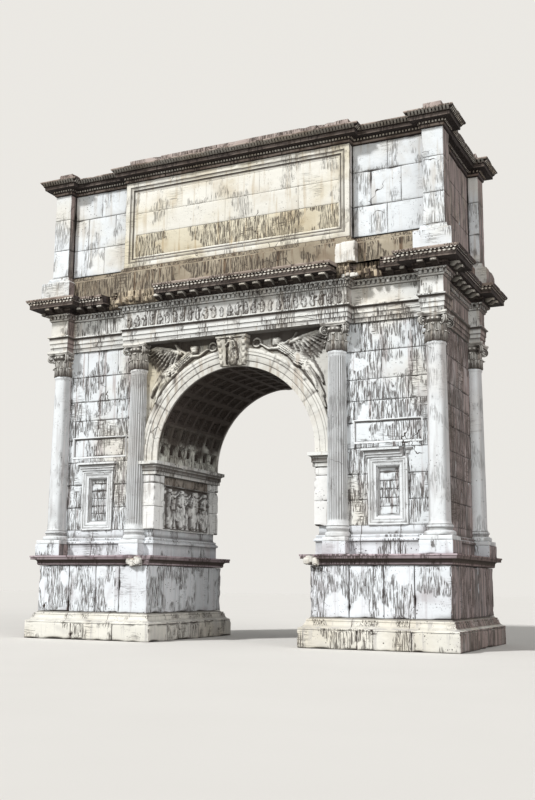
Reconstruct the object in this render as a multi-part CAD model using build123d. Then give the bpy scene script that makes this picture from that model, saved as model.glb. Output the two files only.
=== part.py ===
"""A single-passage triumphal arch with engaged Composite columns, a coffered vault and an attic.

X runs along the length, the front faces -Y and Z is up. The origin is on the ground under the middle of
the arch. Sizes are in millimetres.
"""
import os
from math import radians, sin

from build123d import *

# Plan sizes
PODIUM_LENGTH = 13500
PODIUM_DEPTH = 4760
PASSAGE_WIDTH = 5360
PIER_LENGTH = 12640
PIER_DEPTH = 3960
CORNER_COLUMN_SPACING = 12760
INNER_COLUMN_SPACING = 6800
COLUMN_ROW_SPACING = 4100

# Heights of the courses, from the ground up
PLINTH_HEIGHT = 515
PODIUM_BASE_HEIGHT = 320
PODIUM_DADO_HEIGHT = 1440
PODIUM_CAP_HEIGHT = 295
PEDESTAL_HEIGHT = 370
COLUMN_BASE_HEIGHT = 440
SHAFT_HEIGHT = 5060
CAPITAL_HEIGHT = 820
ARCHITRAVE_HEIGHT = 515
FRIEZE_HEIGHT = 505
DENTIL_COURSE_HEIGHT = 220
CORNICE_HEIGHT = 455
ATTIC_BASE_HEIGHT = 880
ATTIC_WALL_HEIGHT = 2895
ATTIC_CORNICE_HEIGHT = 455
BLOCKING_HEIGHT = 360
BLOCKING_LINK_HEIGHT = 150

# Projections of the mouldings beyond the face that they stand on
PLINTH_PROJECTION = 280
PODIUM_BASE_PROJECTION = 270
PODIUM_CAP_PROJECTION = 240
WALL_BASE_PROJECTION = 110
ARCHITRAVE_PROJECTION = 95
DENTIL_COURSE_PROJECTION = 150
CORNICE_PROJECTION = 635
ATTIC_BASE_PROJECTION = 230
ATTIC_CORNICE_PROJECTION = 410
BLOCKING_SETBACK = 40

# Entablature and attic plans
CORNER_BREAK_WIDTH = 670
BREAK_PROJECTION = 350
CENTRE_BREAK_OVERHANG = 440
ATTIC_LENGTH = 13600
ATTIC_DEPTH = 4720
ATTIC_PILASTER_WIDTH = 650
ATTIC_FRONT_RECESS = 280
ATTIC_END_RECESS = 350
TABLET_LENGTH = 7860
TABLET_THICKNESS = 90
TABLET_BORDER = 370
TABLET_SILL_HEIGHT = 350
TABLET_RECESS = 60

# Columns
ROUND_SIDES = 24
COLUMN_DIAMETER = 610
COLUMN_TOP_DIAMETER = 530
SHAFT_LIP = 22
ASTRAGAL_HEIGHT = 60
CORNER_PEDESTAL_WIDTH = 960
INNER_PEDESTAL_WIDTH = 740
PEDESTAL_LEDGE = 20
CORNER_BASE_SPREAD = 130
INNER_BASE_SPREAD = 60
BASE_PLINTH_HEIGHT = 125
FLUTES = 24
FLUTE_RADIUS = 29
FLUTE_MARGIN = 170
FLUTE_SIDES = 6
CAPITAL_WIDTH = 860
ABACUS_HEIGHT = 110
ABACUS_HOLLOW = 70
ECHINUS_SPREAD = 80
VOLUTE_DIAMETER = 270
VOLUTE_THICKNESS = 110
SCROLL_SIDES = 12
LEAF_WIDTH = 200
LEAF_THICKNESS = 34
LEAF_CURL = 95

# Passage and vault
PASSAGE_WALL_RECESS = 120
JAMB_PILASTER_WIDTH = 600
JAMB_PILASTER_PROJECTION = 120
IMPOST_HEIGHT = 410
IMPOST_PROJECTION = 150
CROWN_COVER = 410
ARCH_STILT = 120
ARCHIVOLT_WIDTH = 550
ARCHIVOLT_PROJECTION = 125
LINING_THICKNESS = 110
COFFER_ROWS = 15
COFFERS_DEEP = 7
COFFER_RIB = 150
RELIEF_THICKNESS = 70
RELIEF_MARGIN = 20
RELIEF_HEAD_GAP = 280
KEYSTONE_TOP_WIDTH = 1040
KEYSTONE_FOOT_WIDTH = 860
KEYSTONE_TOP_PROJECTION = 430
KEYSTONE_FOOT_PROJECTION = 190
KEYSTONE_BELLY = 45
KEYSTONE_HEAD_BAND = 90

# Side bays
WINDOW_WIDTH = 700
WINDOW_HEIGHT = 1690
WINDOW_SILL = 50
WINDOW_RECESS = 110
WINDOW_FRAME = 240
WINDOW_HEAD = 170
WINDOW_REBATE = 96
WINDOW_FRAME_PROJECTION = 60
WINDOW_CORNICE_HEIGHT = 250
WINDOW_CORNICE_PROJECTION = 150
BAY_PANEL_LENGTH = 1980
BAY_PANEL_HEIGHT = 590
BAY_PANEL_GAP = 210
BAY_PANEL_RECESS = 45

# Teeth and brackets of the main cornice
DENTIL_PITCH = 152
DENTIL_WIDTH = 96
MODILLION_PITCH = 440
MODILLION_WIDTH = 190
MODILLION_LENGTH = 330
MODILLION_DEPTH = 150

# Broken stretches, given by their ends along X
LEFT_CORNICE_BREACH = (-4520, -2420)
RIGHT_CORNICE_BREACH = (3560, 4920)
LEFT_CAP_BREACH = (-3430, -2500)
RIGHT_CAP_BREACH = (2500, 3040)
BREACH_DEPTH = 160

# Rise of an arc over its chord in a moulding: straight, swelling out, or hollowed in
FLAT = 0
SWELL = 0.2
HOLLOW = -0.2

# Moulding profiles: out and up as shares of the course's projection and height, and the way there
PLAIN = [(0, 0), (0, 1, FLAT)]
STEPPED_BASE = [(1, 0), (1, 0.12, FLAT), (0.42, 0.62, HOLLOW), (0.42, 0.7, FLAT), (0.28, 0.7, FLAT),
                (0.28, 0.88, SWELL), (0, 1, HOLLOW)]
PODIUM_CAP = [(0.1, 0), (0.25, 0.22, SWELL), (0.25, 0.34, FLAT), (0.62, 0.58, HOLLOW), (0.9, 0.58, FLAT),
              (0.9, 0.82, FLAT), (1, 0.86, SWELL), (1, 1, FLAT)]
WALL_BASE = [(0.7, 0), (0.7, 0.46, FLAT), (1, 0.46, FLAT), (1, 0.56, SWELL), (0.6, 0.62, HOLLOW),
             (0.6, 0.68, SWELL), (0, 0.76, HOLLOW), (0, 1, FLAT)]
FASCIAE = [(0, 0), (0, 0.26, FLAT), (0.2, 0.26, FLAT), (0.2, 0.54, FLAT), (0.4, 0.54, FLAT),
           (0.4, 0.82, FLAT), (0.9, 0.93, HOLLOW), (1, 0.93, FLAT), (1, 1, FLAT)]
BED_MOULD = [(0, 0), (0.3, 0.25, SWELL), (0.3, 0.78, FLAT), (0.66, 0.78, FLAT), (1, 1, SWELL)]
DENTIL_BAND = ((0.3, 0.66), (0.32, 0.78))
SOFFIT_FOOT, SOFFIT_RISE = 0.26, 0.36
CORONA = [(SOFFIT_FOOT, 0), (SOFFIT_FOOT, SOFFIT_RISE, FLAT), (0.84, SOFFIT_RISE, FLAT), (0.84, 0.62, FLAT),
          (0.87, 0.66, FLAT), (0.93, 0.8, HOLLOW), (0.98, 0.92, SWELL), (1, 0.92, FLAT), (1, 1, FLAT)]
ATTIC_FOOT = [(1, 0), (1, 0.72, FLAT), (0.8, 0.76, FLAT), (0.3, 0.9, HOLLOW), (0.3, 0.94, FLAT),
              (0, 1, HOLLOW)]
ATTIC_CROWN = [(0, 0), (0.1, 0.2, SWELL), (0.14, 0.22, FLAT), (0.3, 0.42, HOLLOW), (0.68, 0.42, FLAT),
               (0.68, 0.64, FLAT), (0.76, 0.68, FLAT), (0.88, 0.84, HOLLOW), (0.97, 0.93, SWELL),
               (1, 0.93, FLAT), (1, 1, FLAT)]
IMPOST = [(0.2, 0), (0.2, 0.3, FLAT), (0.4, 0.3, FLAT), (0.4, 0.55, FLAT), (0.75, 0.72, HOLLOW),
          (1, 0.76, FLAT), (1, 1, FLAT)]
COLUMN_BASE = [(0.72, 0), (1, 0.12), (1, 0.28), (0.72, 0.4), (0.3, 0.46), (0.22, 0.6), (0.4, 0.68),
               (0.52, 0.74), (0.52, 0.84), (0.36, 0.9), (0.2, 0.92), (0.2, 1)]

# Levels, worked out from the heights
PODIUM_BASE_FOOT = PLINTH_HEIGHT
PODIUM_DADO_FOOT = PODIUM_BASE_FOOT + PODIUM_BASE_HEIGHT
PODIUM_CAP_FOOT = PODIUM_DADO_FOOT + PODIUM_DADO_HEIGHT
PODIUM_TOP = PODIUM_CAP_FOOT + PODIUM_CAP_HEIGHT
COLUMN_BASE_FOOT = PODIUM_TOP + PEDESTAL_HEIGHT
SHAFT_FOOT = COLUMN_BASE_FOOT + COLUMN_BASE_HEIGHT
CAPITAL_FOOT = SHAFT_FOOT + SHAFT_HEIGHT
ARCHITRAVE_FOOT = CAPITAL_FOOT + CAPITAL_HEIGHT
FRIEZE_FOOT = ARCHITRAVE_FOOT + ARCHITRAVE_HEIGHT
DENTIL_COURSE_FOOT = FRIEZE_FOOT + FRIEZE_HEIGHT
CORNICE_FOOT = DENTIL_COURSE_FOOT + DENTIL_COURSE_HEIGHT
ATTIC_FOOT_LEVEL = CORNICE_FOOT + CORNICE_HEIGHT
ATTIC_WALL_FOOT = ATTIC_FOOT_LEVEL + ATTIC_BASE_HEIGHT
ATTIC_CORNICE_FOOT = ATTIC_WALL_FOOT + ATTIC_WALL_HEIGHT
ATTIC_TOP = ATTIC_CORNICE_FOOT + ATTIC_CORNICE_HEIGHT
RING_RADIUS = PASSAGE_WIDTH / 2 + ARCHIVOLT_WIDTH
ARCH_CENTRE = ARCHITRAVE_FOOT - CROWN_COVER - RING_RADIUS
IMPOST_TOP = ARCH_CENTRE - ARCH_STILT
IMPOST_FOOT = IMPOST_TOP - IMPOST_HEIGHT
WINDOW_FOOT = SHAFT_FOOT + WINDOW_SILL
WINDOW_TOP = WINDOW_FOOT + WINDOW_HEIGHT
BAY_PANEL_FOOT = WINDOW_TOP + WINDOW_HEAD + WINDOW_CORNICE_HEIGHT + BAY_PANEL_GAP

# Planes and axes in plan, worked out from the sizes
PASSAGE_X = PASSAGE_WIDTH / 2
PASSAGE_WALL_X = PASSAGE_X + PASSAGE_WALL_RECESS
PIER_X = PIER_LENGTH / 2
PIER_Y = PIER_DEPTH / 2
JAMB_Y = PIER_Y + JAMB_PILASTER_PROJECTION
CORNER_X = CORNER_COLUMN_SPACING / 2
INNER_X = INNER_COLUMN_SPACING / 2
ROW_Y = COLUMN_ROW_SPACING / 2
BAY_X = (CORNER_X + INNER_X) / 2
CLEARANCE = 200


def box(x_range, y_range, z_range):
    """Return a block between two values on each axis."""
    size = [high - low for low, high in (x_range, y_range, z_range)]
    corner = Pos(x_range[0], y_range[0], z_range[0])
    return corner * Box(*size, align=(Align.MIN, Align.MIN, Align.MIN))


def fuse(solids):
    """Join touching or overlapping solids into one."""
    solids = list(solids)
    joined = solids[0]
    return joined + solids[1:] if len(solids) > 1 else joined


def profile_points(profile, projection, height):
    """Return a moulding's points from its foot up; a bent run has one more, in its middle."""
    points = [(profile[0][0] * projection, profile[0][1] * height)]
    for out, up, bulge in profile[1:]:
        start, end = points[-1], (out * projection, up * height)
        if bulge:
            across, rise = end[0] - start[0], end[1] - start[1]
            points.append(((start[0] + end[0]) / 2 + bulge * rise, (start[1] + end[1]) / 2 - bulge * across))
        points.append(end)
    return points


def silhouette(low, high, foot, points, to_space):
    """Return the face of a moulded block seen square on, between two values across and from its foot up."""
    right = [to_space(high + out, foot + up) for out, up in points]
    left = [to_space(low - out, foot + up) for out, up in reversed(points)]
    return Face(Wire(Polyline(*right, *left, close=True).edges()))


def moulding(x_range, y_range, foot, height, projection, profile):
    """Return a block with one moulding carried round its four sides, mitred at the corners."""
    points = profile_points(profile, projection, height)
    reach = max(out for out, _ in points) + CLEARANCE
    along_y = silhouette(*x_range, foot, points, lambda across, up: (across, y_range[0] - reach, up))
    along_x = silhouette(*y_range, foot, points, lambda across, up: (x_range[0] - reach, across, up))
    front = extrude(along_y, amount=y_range[1] - y_range[0] + 2 * reach, dir=(0, 1, 0))
    end = extrude(along_x, amount=x_range[1] - x_range[0] + 2 * reach, dir=(1, 0, 0))
    return front & end


def mirrored_ranges(low, high):
    """Return a range and its mirror image about zero."""
    return [(low, high), (-high, -low)]


def entablature_plan():
    """Return the rectangles of the entablature: the recessed body, the corner breaks and the centre."""
    half = CORNER_BREAK_WIDTH / 2
    outer_x, outer_y = CORNER_X + half, ROW_Y + half
    body = ((BREAK_PROJECTION - outer_x, outer_x - BREAK_PROJECTION),
            (BREAK_PROJECTION - outer_y, outer_y - BREAK_PROJECTION))
    corners = [(x_range, y_range) for x_range in mirrored_ranges(CORNER_X - half, outer_x)
               for y_range in mirrored_ranges(ROW_Y - half, outer_y)]
    reach = INNER_X + CENTRE_BREAK_OVERHANG
    centre = ((-reach, reach), (-outer_y, outer_y))
    return [body, *corners, centre]


def attic_plan(centre_y):
    """Return the rectangles of the attic: the recessed body, the corner pilasters and the centre."""
    outer_x, outer_y = ATTIC_LENGTH / 2, ATTIC_DEPTH / 2
    body = ((ATTIC_END_RECESS - outer_x, outer_x - ATTIC_END_RECESS),
            (ATTIC_FRONT_RECESS - outer_y, outer_y - ATTIC_FRONT_RECESS))
    corners = [(x_range, y_range) for x_range in mirrored_ranges(outer_x - ATTIC_PILASTER_WIDTH, outer_x)
               for y_range in mirrored_ranges(outer_y - ATTIC_PILASTER_WIDTH, outer_y)]
    centre = ((-TABLET_LENGTH / 2, TABLET_LENGTH / 2), (-centre_y, centre_y))
    return [body, *corners, centre]


def course(plan, foot, height, projection, profile):
    """Return one course of masonry whose moulding follows every break of the plan."""
    return fuse(moulding(x_range, y_range, foot, height, projection, profile) for x_range, y_range in plan)


def inside(x, y, rectangles):
    """Tell whether a point in plan lies in one of several rectangles."""
    return any(xs[0] < x < xs[1] and ys[0] < y < ys[1] for xs, ys in rectangles)


def repeats(plan, outset, pitch):
    """Return where one ornament repeats round a plan: on a line outset from it, with its +X outwards."""
    places = []
    for number, (xs, ys) in enumerate(plan):
        others = [((x[0] - outset, x[1] + outset), (y[0] - outset, y[1] + outset))
                  for x, y in plan[:number] + plan[number + 1:]]
        centre = Pos((xs[0] + xs[1]) / 2, (ys[0] + ys[1]) / 2, 0)
        sizes = (xs[1] - xs[0], ys[1] - ys[0])
        for turn in range(4):
            across, run = sizes[turn % 2], sizes[1 - turn % 2]
            count = round(run / pitch)
            for step in range(count):
                shift = run * ((step + 0.5) / count - 0.5)
                place = centre * Rot(0, 0, 90 * turn) * Pos(across / 2 + outset, shift, 0)
                if not inside(place.position.X, place.position.Y, others):
                    places.append(place)
    return places


def column_axes(pier_side):
    """Return the plan position and kind of the four columns of one pier."""
    return [(pier_side * x, y, x == CORNER_X) for x in (INNER_X, CORNER_X) for y in (-ROW_Y, ROW_Y)]


def pier_core(foot, top):
    """Return both piers' wall block as one mass, used to cut engaged pieces to the wall."""
    return box((-PIER_X, PIER_X), (-PIER_Y, PIER_Y), (foot, top))


def turned(outline):
    """Return a round piece about Z, drawn with many flat sides, from its radius and height at each level."""
    return loft([Pos(0, 0, up) * RegularPolygon(out, ROUND_SIDES) for out, up in outline], ruled=True)


def shaft_radius(height_share):
    """Return the shaft's radius at a share of its height, with a slight swelling of its outline."""
    foot, top = COLUMN_DIAMETER / 2, COLUMN_TOP_DIAMETER / 2
    return foot + (top - foot) * height_share ** 1.6


def plain_shaft():
    """Return a corner column's shaft on the origin, with its foot fillet and top astragal."""
    foot, top = COLUMN_DIAMETER / 2, COLUMN_TOP_DIAMETER / 2
    neck = SHAFT_HEIGHT - ASTRAGAL_HEIGHT
    swelling = [(shaft_radius(share), SHAFT_HEIGHT * share) for share in (0.35, 0.7)]
    return turned([
        (foot + SHAFT_LIP, 0), (foot + SHAFT_LIP, SHAFT_LIP * 2), (foot, SHAFT_LIP * 5), *swelling,
        (top, neck - ASTRAGAL_HEIGHT), (top + SHAFT_LIP, neck),
        (top + SHAFT_LIP * 2, neck + ASTRAGAL_HEIGHT * 0.3),
        (top + SHAFT_LIP * 2, neck + ASTRAGAL_HEIGHT * 0.7), (top + SHAFT_LIP, SHAFT_HEIGHT),
    ])


def tapered_shaft():
    """Return an inner column's shaft on the origin, with one flat side for each flute."""
    foot, top = COLUMN_DIAMETER / 2, COLUMN_TOP_DIAMETER / 2
    sides = [Pos(0, 0, up) * RegularPolygon(out, FLUTES) for out, up in ((foot, 0), (top, SHAFT_HEIGHT))]
    return Rot(0, 0, 180 / FLUTES) * loft(sides, ruled=True)


def flute_cutters():
    """Return the grooves of a tapered shaft, each with a few flat sides, sloped to run along its surface."""
    foot, top = COLUMN_DIAMETER / 2, COLUMN_TOP_DIAMETER / 2
    low, high = FLUTE_MARGIN, SHAFT_HEIGHT - FLUTE_MARGIN
    slope = (top - foot) / SHAFT_HEIGHT
    start = Vector(foot + slope * low, 0, low)
    run = Vector(slope * (high - low), 0, high - low)
    section = Plane(origin=start, z_dir=run) * RegularPolygon(FLUTE_RADIUS, FLUTE_SIDES)
    groove = extrude(section, amount=run.length)
    return [Rot(0, 0, 360 * number / FLUTES) * groove for number in range(FLUTES)]


def place_columns(column, pier_side, foot, fluted):
    """Put one kind of column piece on its axes of one pier, and cut it to the wall that it stands against."""
    wall = pier_core(foot - CLEARANCE, ARCHITRAVE_FOOT + CLEARANCE)
    return {(x, y): Pos(x, y, foot) * column - wall
            for x, y, corner in column_axes(pier_side) if corner != fluted}


def column_base(spread, plinth_width):
    """Return an Attic base on the origin: square plinth, two tori and the hollow between them."""
    foot, rise = COLUMN_DIAMETER / 2, COLUMN_BASE_HEIGHT - BASE_PLINTH_HEIGHT
    rings = [(foot + spread * out, BASE_PLINTH_HEIGHT + rise * up) for out, up in COLUMN_BASE]
    half = plinth_width / 2
    square = box((-half, half), (-half, half), (0, BASE_PLINTH_HEIGHT))
    return turned(rings) + square


def leaf(radius, height):
    """Return one acanthus leaf of a capital: a bent tapering tongue that curls out at its tip."""
    lean, tip = LEAF_CURL * 0.35, LEAF_CURL
    side = [
        (radius - LEAF_THICKNESS, 0), (radius, 0), (radius + lean, height * 0.72),
        (radius + tip, height * 0.84), (radius + tip * 0.85, height * 0.98), (radius + lean, height),
        (radius + lean - LEAF_THICKNESS, height * 0.8),
    ]
    profile = Face(Wire(Polyline(*[(out, 0, up) for out, up in side], close=True).edges()))
    tongue = extrude(profile, amount=LEAF_WIDTH / 2, dir=(0, 1, 0), both=True)
    half = LEAF_WIDTH / 2
    front = [(-half * 0.7, 0), (half * 0.7, 0), (half, height * 0.55), (half * 0.35, height),
             (-half * 0.35, height), (-half, height * 0.55)]
    outline = Face(Wire(Polyline(*[(0, across, up) for across, up in front], close=True).edges()))
    return tongue & extrude(outline, amount=radius * 3, dir=(1, 0, 0))


def capital():
    """Return a Composite capital on the origin: bell, two rows of leaves, volutes and hollow abacus."""
    neck = COLUMN_TOP_DIAMETER / 2
    bell_top = CAPITAL_HEIGHT - ABACUS_HEIGHT
    echinus = CAPITAL_HEIGHT * 0.2
    lip = neck + ECHINUS_SPREAD
    bell = turned([(neck, 0), (neck, bell_top - echinus), (lip, bell_top - echinus * 0.7), (lip, bell_top)])
    half = CAPITAL_WIDTH / 2
    hollows = [Rot(0, 0, 90 * turn) * (Pos(half * 2.9 - ABACUS_HOLLOW, 0, 0) * Cylinder(
        half * 1.9, ABACUS_HEIGHT * 3)) for turn in range(4)]
    abacus = box((-half, half), (-half, half), (0, ABACUS_HEIGHT)) - hollows
    pieces = [bell, Pos(0, 0, bell_top) * abacus]
    lower, upper = CAPITAL_HEIGHT * 0.34, CAPITAL_HEIGHT * 0.6
    for number in range(8):
        pieces.append(Rot(0, 0, 45 * number) * leaf(neck + 6, upper))
        pieces.append(Rot(0, 0, 45 * number + 22.5) * leaf(neck + LEAF_THICKNESS, lower))
    reach = half * 0.98
    circle = Plane.XZ * RegularPolygon(VOLUTE_DIAMETER / 2, SCROLL_SIDES)
    scroll = extrude(circle, VOLUTE_THICKNESS / 2, both=True)
    volute = Pos(reach, 0, bell_top - VOLUTE_DIAMETER / 2) * scroll
    pieces += [Rot(0, 0, 90 * turn + 45) * volute for turn in range(4)]
    return fuse(pieces)


def pier_block(foot, top, projection=0, profile=None):
    """Return one course of the right pier's podium, moulded on all sides."""
    x_range = (PASSAGE_X, PODIUM_LENGTH / 2)
    y_range = (-PODIUM_DEPTH / 2, PODIUM_DEPTH / 2)
    return moulding(x_range, y_range, foot, top - foot, projection, profile or PLAIN)


def plinth():
    """Return the right pier's plinth, which stands out beyond the podium on every side."""
    reach = PLINTH_PROJECTION
    half_depth = PODIUM_DEPTH / 2 + reach
    return box((PASSAGE_X - reach, PODIUM_LENGTH / 2 + reach), (-half_depth, half_depth), (0, PLINTH_HEIGHT))


def wall_base():
    """Return the right pier's base course with the pedestals of its four columns."""
    inner = PASSAGE_X + WALL_BASE_PROJECTION
    height = SHAFT_FOOT - PODIUM_TOP
    core = moulding((inner, PIER_X), (-PIER_Y, PIER_Y), PODIUM_TOP, height, WALL_BASE_PROJECTION, WALL_BASE)
    pedestals = []
    for x, y, corner in column_axes(1):
        half = (CORNER_PEDESTAL_WIDTH if corner else INNER_PEDESTAL_WIDTH) / 2
        pedestals.append(box((x - half, x + half), (y - half, y + half), (PODIUM_TOP, COLUMN_BASE_FOOT)))
    return fuse([core, *pedestals])


def column_bases(course_below):
    """Return the four bases of the right pier, each cut to the base course that it stands against."""
    bases = []
    for x, y, corner in column_axes(1):
        spread = CORNER_BASE_SPREAD if corner else INNER_BASE_SPREAD
        width = CORNER_PEDESTAL_WIDTH if corner else INNER_PEDESTAL_WIDTH
        base = column_base(spread, width - 2 * PEDESTAL_LEDGE)
        bases.append(Pos(x, y, COLUMN_BASE_FOOT) * base - course_below)
    return bases


def full_shafts(pier_side):
    """Return the four uncut shafts of a pier, which give the seats beside the jamb pilasters."""
    return [Pos(x, y, SHAFT_FOOT) * (plain_shaft() if corner else tapered_shaft())
            for x, y, corner in column_axes(pier_side)]


def pier_wall():
    """Return the right pier's wall behind the columns, with its panels and window recesses sunk in."""
    wall = box((INNER_X, PIER_X), (-PIER_Y, PIER_Y), (SHAFT_FOOT, ARCHITRAVE_FOOT))
    for y_range in mirrored_ranges(PIER_Y - BAY_PANEL_RECESS, PIER_Y + CLEARANCE):
        wall -= box((BAY_X - BAY_PANEL_LENGTH / 2, BAY_X + BAY_PANEL_LENGTH / 2), y_range,
                    (BAY_PANEL_FOOT, BAY_PANEL_FOOT + BAY_PANEL_HEIGHT))
    for y_range in mirrored_ranges(PIER_Y - WINDOW_RECESS, PIER_Y + CLEARANCE):
        wall -= box((BAY_X - WINDOW_WIDTH / 2, BAY_X + WINDOW_WIDTH / 2), y_range,
                    (WINDOW_FOOT, WINDOW_FOOT + WINDOW_HEIGHT))
    return wall


def blind_window():
    """Return the frame and cornice of the front window of the right bay."""
    half, face = WINDOW_WIDTH / 2, -PIER_Y
    frame_x = (BAY_X - half - WINDOW_FRAME, BAY_X + half + WINDOW_FRAME)
    cornice_foot = WINDOW_TOP + WINDOW_HEAD
    outer = box(frame_x, (face - WINDOW_FRAME_PROJECTION, face), (SHAFT_FOOT, cornice_foot))
    opening = box((BAY_X - half, BAY_X + half), (face - CLEARANCE, face + CLEARANCE),
                  (WINDOW_FOOT, WINDOW_TOP))
    step = box((BAY_X - half - WINDOW_REBATE, BAY_X + half + WINDOW_REBATE),
               (face - CLEARANCE, face - WINDOW_FRAME_PROJECTION / 2),
               (WINDOW_FOOT - WINDOW_REBATE / 4, WINDOW_TOP + WINDOW_REBATE))
    cornice = moulding(frame_x, (face - WINDOW_FRAME_PROJECTION, -face), cornice_foot, WINDOW_CORNICE_HEIGHT,
                       WINDOW_CORNICE_PROJECTION, IMPOST)
    in_front = box((0, PIER_X), (face - PIER_Y, face), (0, ARCHITRAVE_FOOT))
    return outer - step - opening + (cornice & in_front)


def passage_wall():
    """Return the wall of the passage between the right pier's jambs, under its impost."""
    return box((PASSAGE_WALL_X, INNER_X), (-PIER_Y, PIER_Y), (SHAFT_FOOT, IMPOST_FOOT))


def jamb_pilasters():
    """Return the two pilasters that turn the corners of the passage on the right pier."""
    pilasters = []
    for y_range in mirrored_ranges(JAMB_Y - JAMB_PILASTER_WIDTH, JAMB_Y):
        strip = box((PASSAGE_X, INNER_X), y_range, (SHAFT_FOOT, IMPOST_FOOT))
        pilasters.append(strip - passage_wall() - full_shafts(1))
    return pilasters


def impost():
    """Return the moulded impost course that carries the right end of the arch."""
    block = moulding((PASSAGE_X, INNER_X + PASSAGE_X), (-JAMB_Y, JAMB_Y), IMPOST_FOOT, IMPOST_HEIGHT,
                     IMPOST_PROJECTION, IMPOST)
    beyond = box((INNER_X, INNER_X + PODIUM_LENGTH), (-PODIUM_DEPTH, PODIUM_DEPTH), (0, ARCHITRAVE_FOOT))
    return block - beyond - full_shafts(1)


def relief_panel():
    """Return the slab that carries the relief on the passage wall of the right pier."""
    half = JAMB_Y - JAMB_PILASTER_WIDTH - RELIEF_MARGIN
    return box((PASSAGE_WALL_X - RELIEF_THICKNESS, PASSAGE_WALL_X), (-half, half),
               (SHAFT_FOOT, IMPOST_FOOT - RELIEF_HEAD_GAP))


def half_disc(radius, y_range):
    """Return the space under a stilted half circle about the arch's axis, from the impost up."""
    disc = Pos(0, 0, ARCH_CENTRE) * Rot(90, 0, 0) * Cylinder(radius, 4 * PODIUM_DEPTH)
    upper = disc & box((-radius, radius), y_range, (ARCH_CENTRE, ARCH_CENTRE + radius))
    return upper + box((-radius, radius), y_range, (IMPOST_TOP, ARCH_CENTRE))


def half_ring(inner, outer, y_range):
    """Return a stilted half ring of the arch between two radii and two planes."""
    return half_disc(outer, y_range) - half_disc(inner, y_range)


def spandrels():
    """Return the left and right masses of wall over the arch, split at the crown."""
    faces = (-PIER_Y, PIER_Y)
    wall = box((-INNER_X, INNER_X), faces, (IMPOST_TOP, ARCHITRAVE_FOOT)) - half_disc(RING_RADIUS, faces)
    return [wall & box(x_range, faces, (0, ARCHITRAVE_FOOT)) for x_range in ((-INNER_X, 0), (0, INNER_X))]


def coffer_lining():
    """Return the coffered skin of the vault: a thin ring cut through in rows across and along."""
    skin = half_ring(PASSAGE_X, PASSAGE_X + LINING_THICKNESS, (-PIER_Y, PIER_Y))
    turn = 180 / COFFER_ROWS
    pitch = (PIER_DEPTH - COFFER_RIB) / COFFERS_DEEP
    across = 2 * (PASSAGE_X * sin(radians(turn) / 2)) - COFFER_RIB
    cutters = []
    for row in range(COFFER_ROWS):
        for place in range(COFFERS_DEEP):
            y = (place - (COFFERS_DEEP - 1) / 2) * pitch
            cutter = Pos(PASSAGE_X, y, 0) * Box(4 * LINING_THICKNESS, pitch - COFFER_RIB, across)
            cutters.append(Pos(0, 0, ARCH_CENTRE) * Rot(0, -turn * (row + 0.5), 0) * cutter)
    return skin - cutters


def archivolt(wedge):
    """Return the moulded front ring of the arch, in three steps, cut out for its keystone."""
    steps = [(0, 0.3, 0.45), (0.3, 0.66, 0.68), (0.66, 1, 1)]
    rings = [half_ring(PASSAGE_X + ARCHIVOLT_WIDTH * low, PASSAGE_X + ARCHIVOLT_WIDTH * high,
                       (-PIER_Y - ARCHIVOLT_PROJECTION * out, -PIER_Y)) for low, high, out in steps]
    return fuse(rings) - wedge - full_shafts(1) - full_shafts(-1)


def keystone():
    """Return the front keystone: a tapering console whose face swells forward to its head."""
    foot, head = ARCH_CENTRE + PASSAGE_X, ARCHITRAVE_FOOT
    top, bottom = -PIER_Y - KEYSTONE_TOP_PROJECTION, -PIER_Y - KEYSTONE_FOOT_PROJECTION
    middle, band = (foot + head) / 2, head - KEYSTONE_HEAD_BAND
    waist = bottom - KEYSTONE_BELLY / 2
    side = [
        Line((0, -PIER_Y, foot), (0, bottom, foot)),
        ThreePointArc((0, bottom, foot), (0, bottom - KEYSTONE_BELLY, (foot + middle) / 2),
                      (0, waist, middle)),
        ThreePointArc((0, waist, middle), (0, top + KEYSTONE_BELLY, (middle + head) / 2), (0, top, band)),
        Line((0, top, band), (0, top, head)),
        Line((0, top, head), (0, -PIER_Y, head)),
        Line((0, -PIER_Y, head), (0, -PIER_Y, foot)),
    ]
    console = extrude(Face(Wire(side)), amount=KEYSTONE_TOP_WIDTH, dir=(1, 0, 0), both=True)
    half_top, half_foot = KEYSTONE_TOP_WIDTH / 2, KEYSTONE_FOOT_WIDTH / 2
    front = Polyline((-half_foot, top, foot), (half_foot, top, foot), (half_top, top, head),
                     (-half_top, top, head), close=True)
    wedge = extrude(Face(Wire(front.edges())), amount=PIER_DEPTH, dir=(0, 1, 0))
    return console & wedge


def keystone_wedge():
    """Return the wedge of space that the front keystone takes out of the archivolt."""
    half_top, half_foot = KEYSTONE_TOP_WIDTH / 2, KEYSTONE_FOOT_WIDTH / 2
    foot, head = ARCH_CENTRE + PASSAGE_X, ARCHITRAVE_FOOT
    drop = (half_top - half_foot) / (head - foot)
    low = foot - CLEARANCE
    half_low = half_foot - drop * CLEARANCE
    front = Polyline((-half_low, -PODIUM_DEPTH, low), (half_low, -PODIUM_DEPTH, low),
                     (half_top, -PODIUM_DEPTH, head), (-half_top, -PODIUM_DEPTH, head), close=True)
    return extrude(Face(Wire(front.edges())), amount=PODIUM_DEPTH, dir=(0, 1, 0))


def breach(ends, foot, top, face, depth):
    """Return a ragged prism that takes a broken stretch of a front moulding away in front of a plane."""
    start, end = ends
    reach = -PODIUM_DEPTH
    step = (end - start) / 6
    teeth = [(start, face), (start + step, face - depth), (start + 2 * step, face),
             (start + 3 * step, face - depth / 3), (start + 4 * step, face),
             (start + 5 * step, face - depth / 2), (end, face)]
    points = [(start, reach, foot), *[(x, y, foot) for x, y in teeth], (end, reach, foot)]
    return extrude(Face(Wire(Polyline(*points, close=True).edges())), amount=top - foot, dir=(0, 0, 1))


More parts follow.
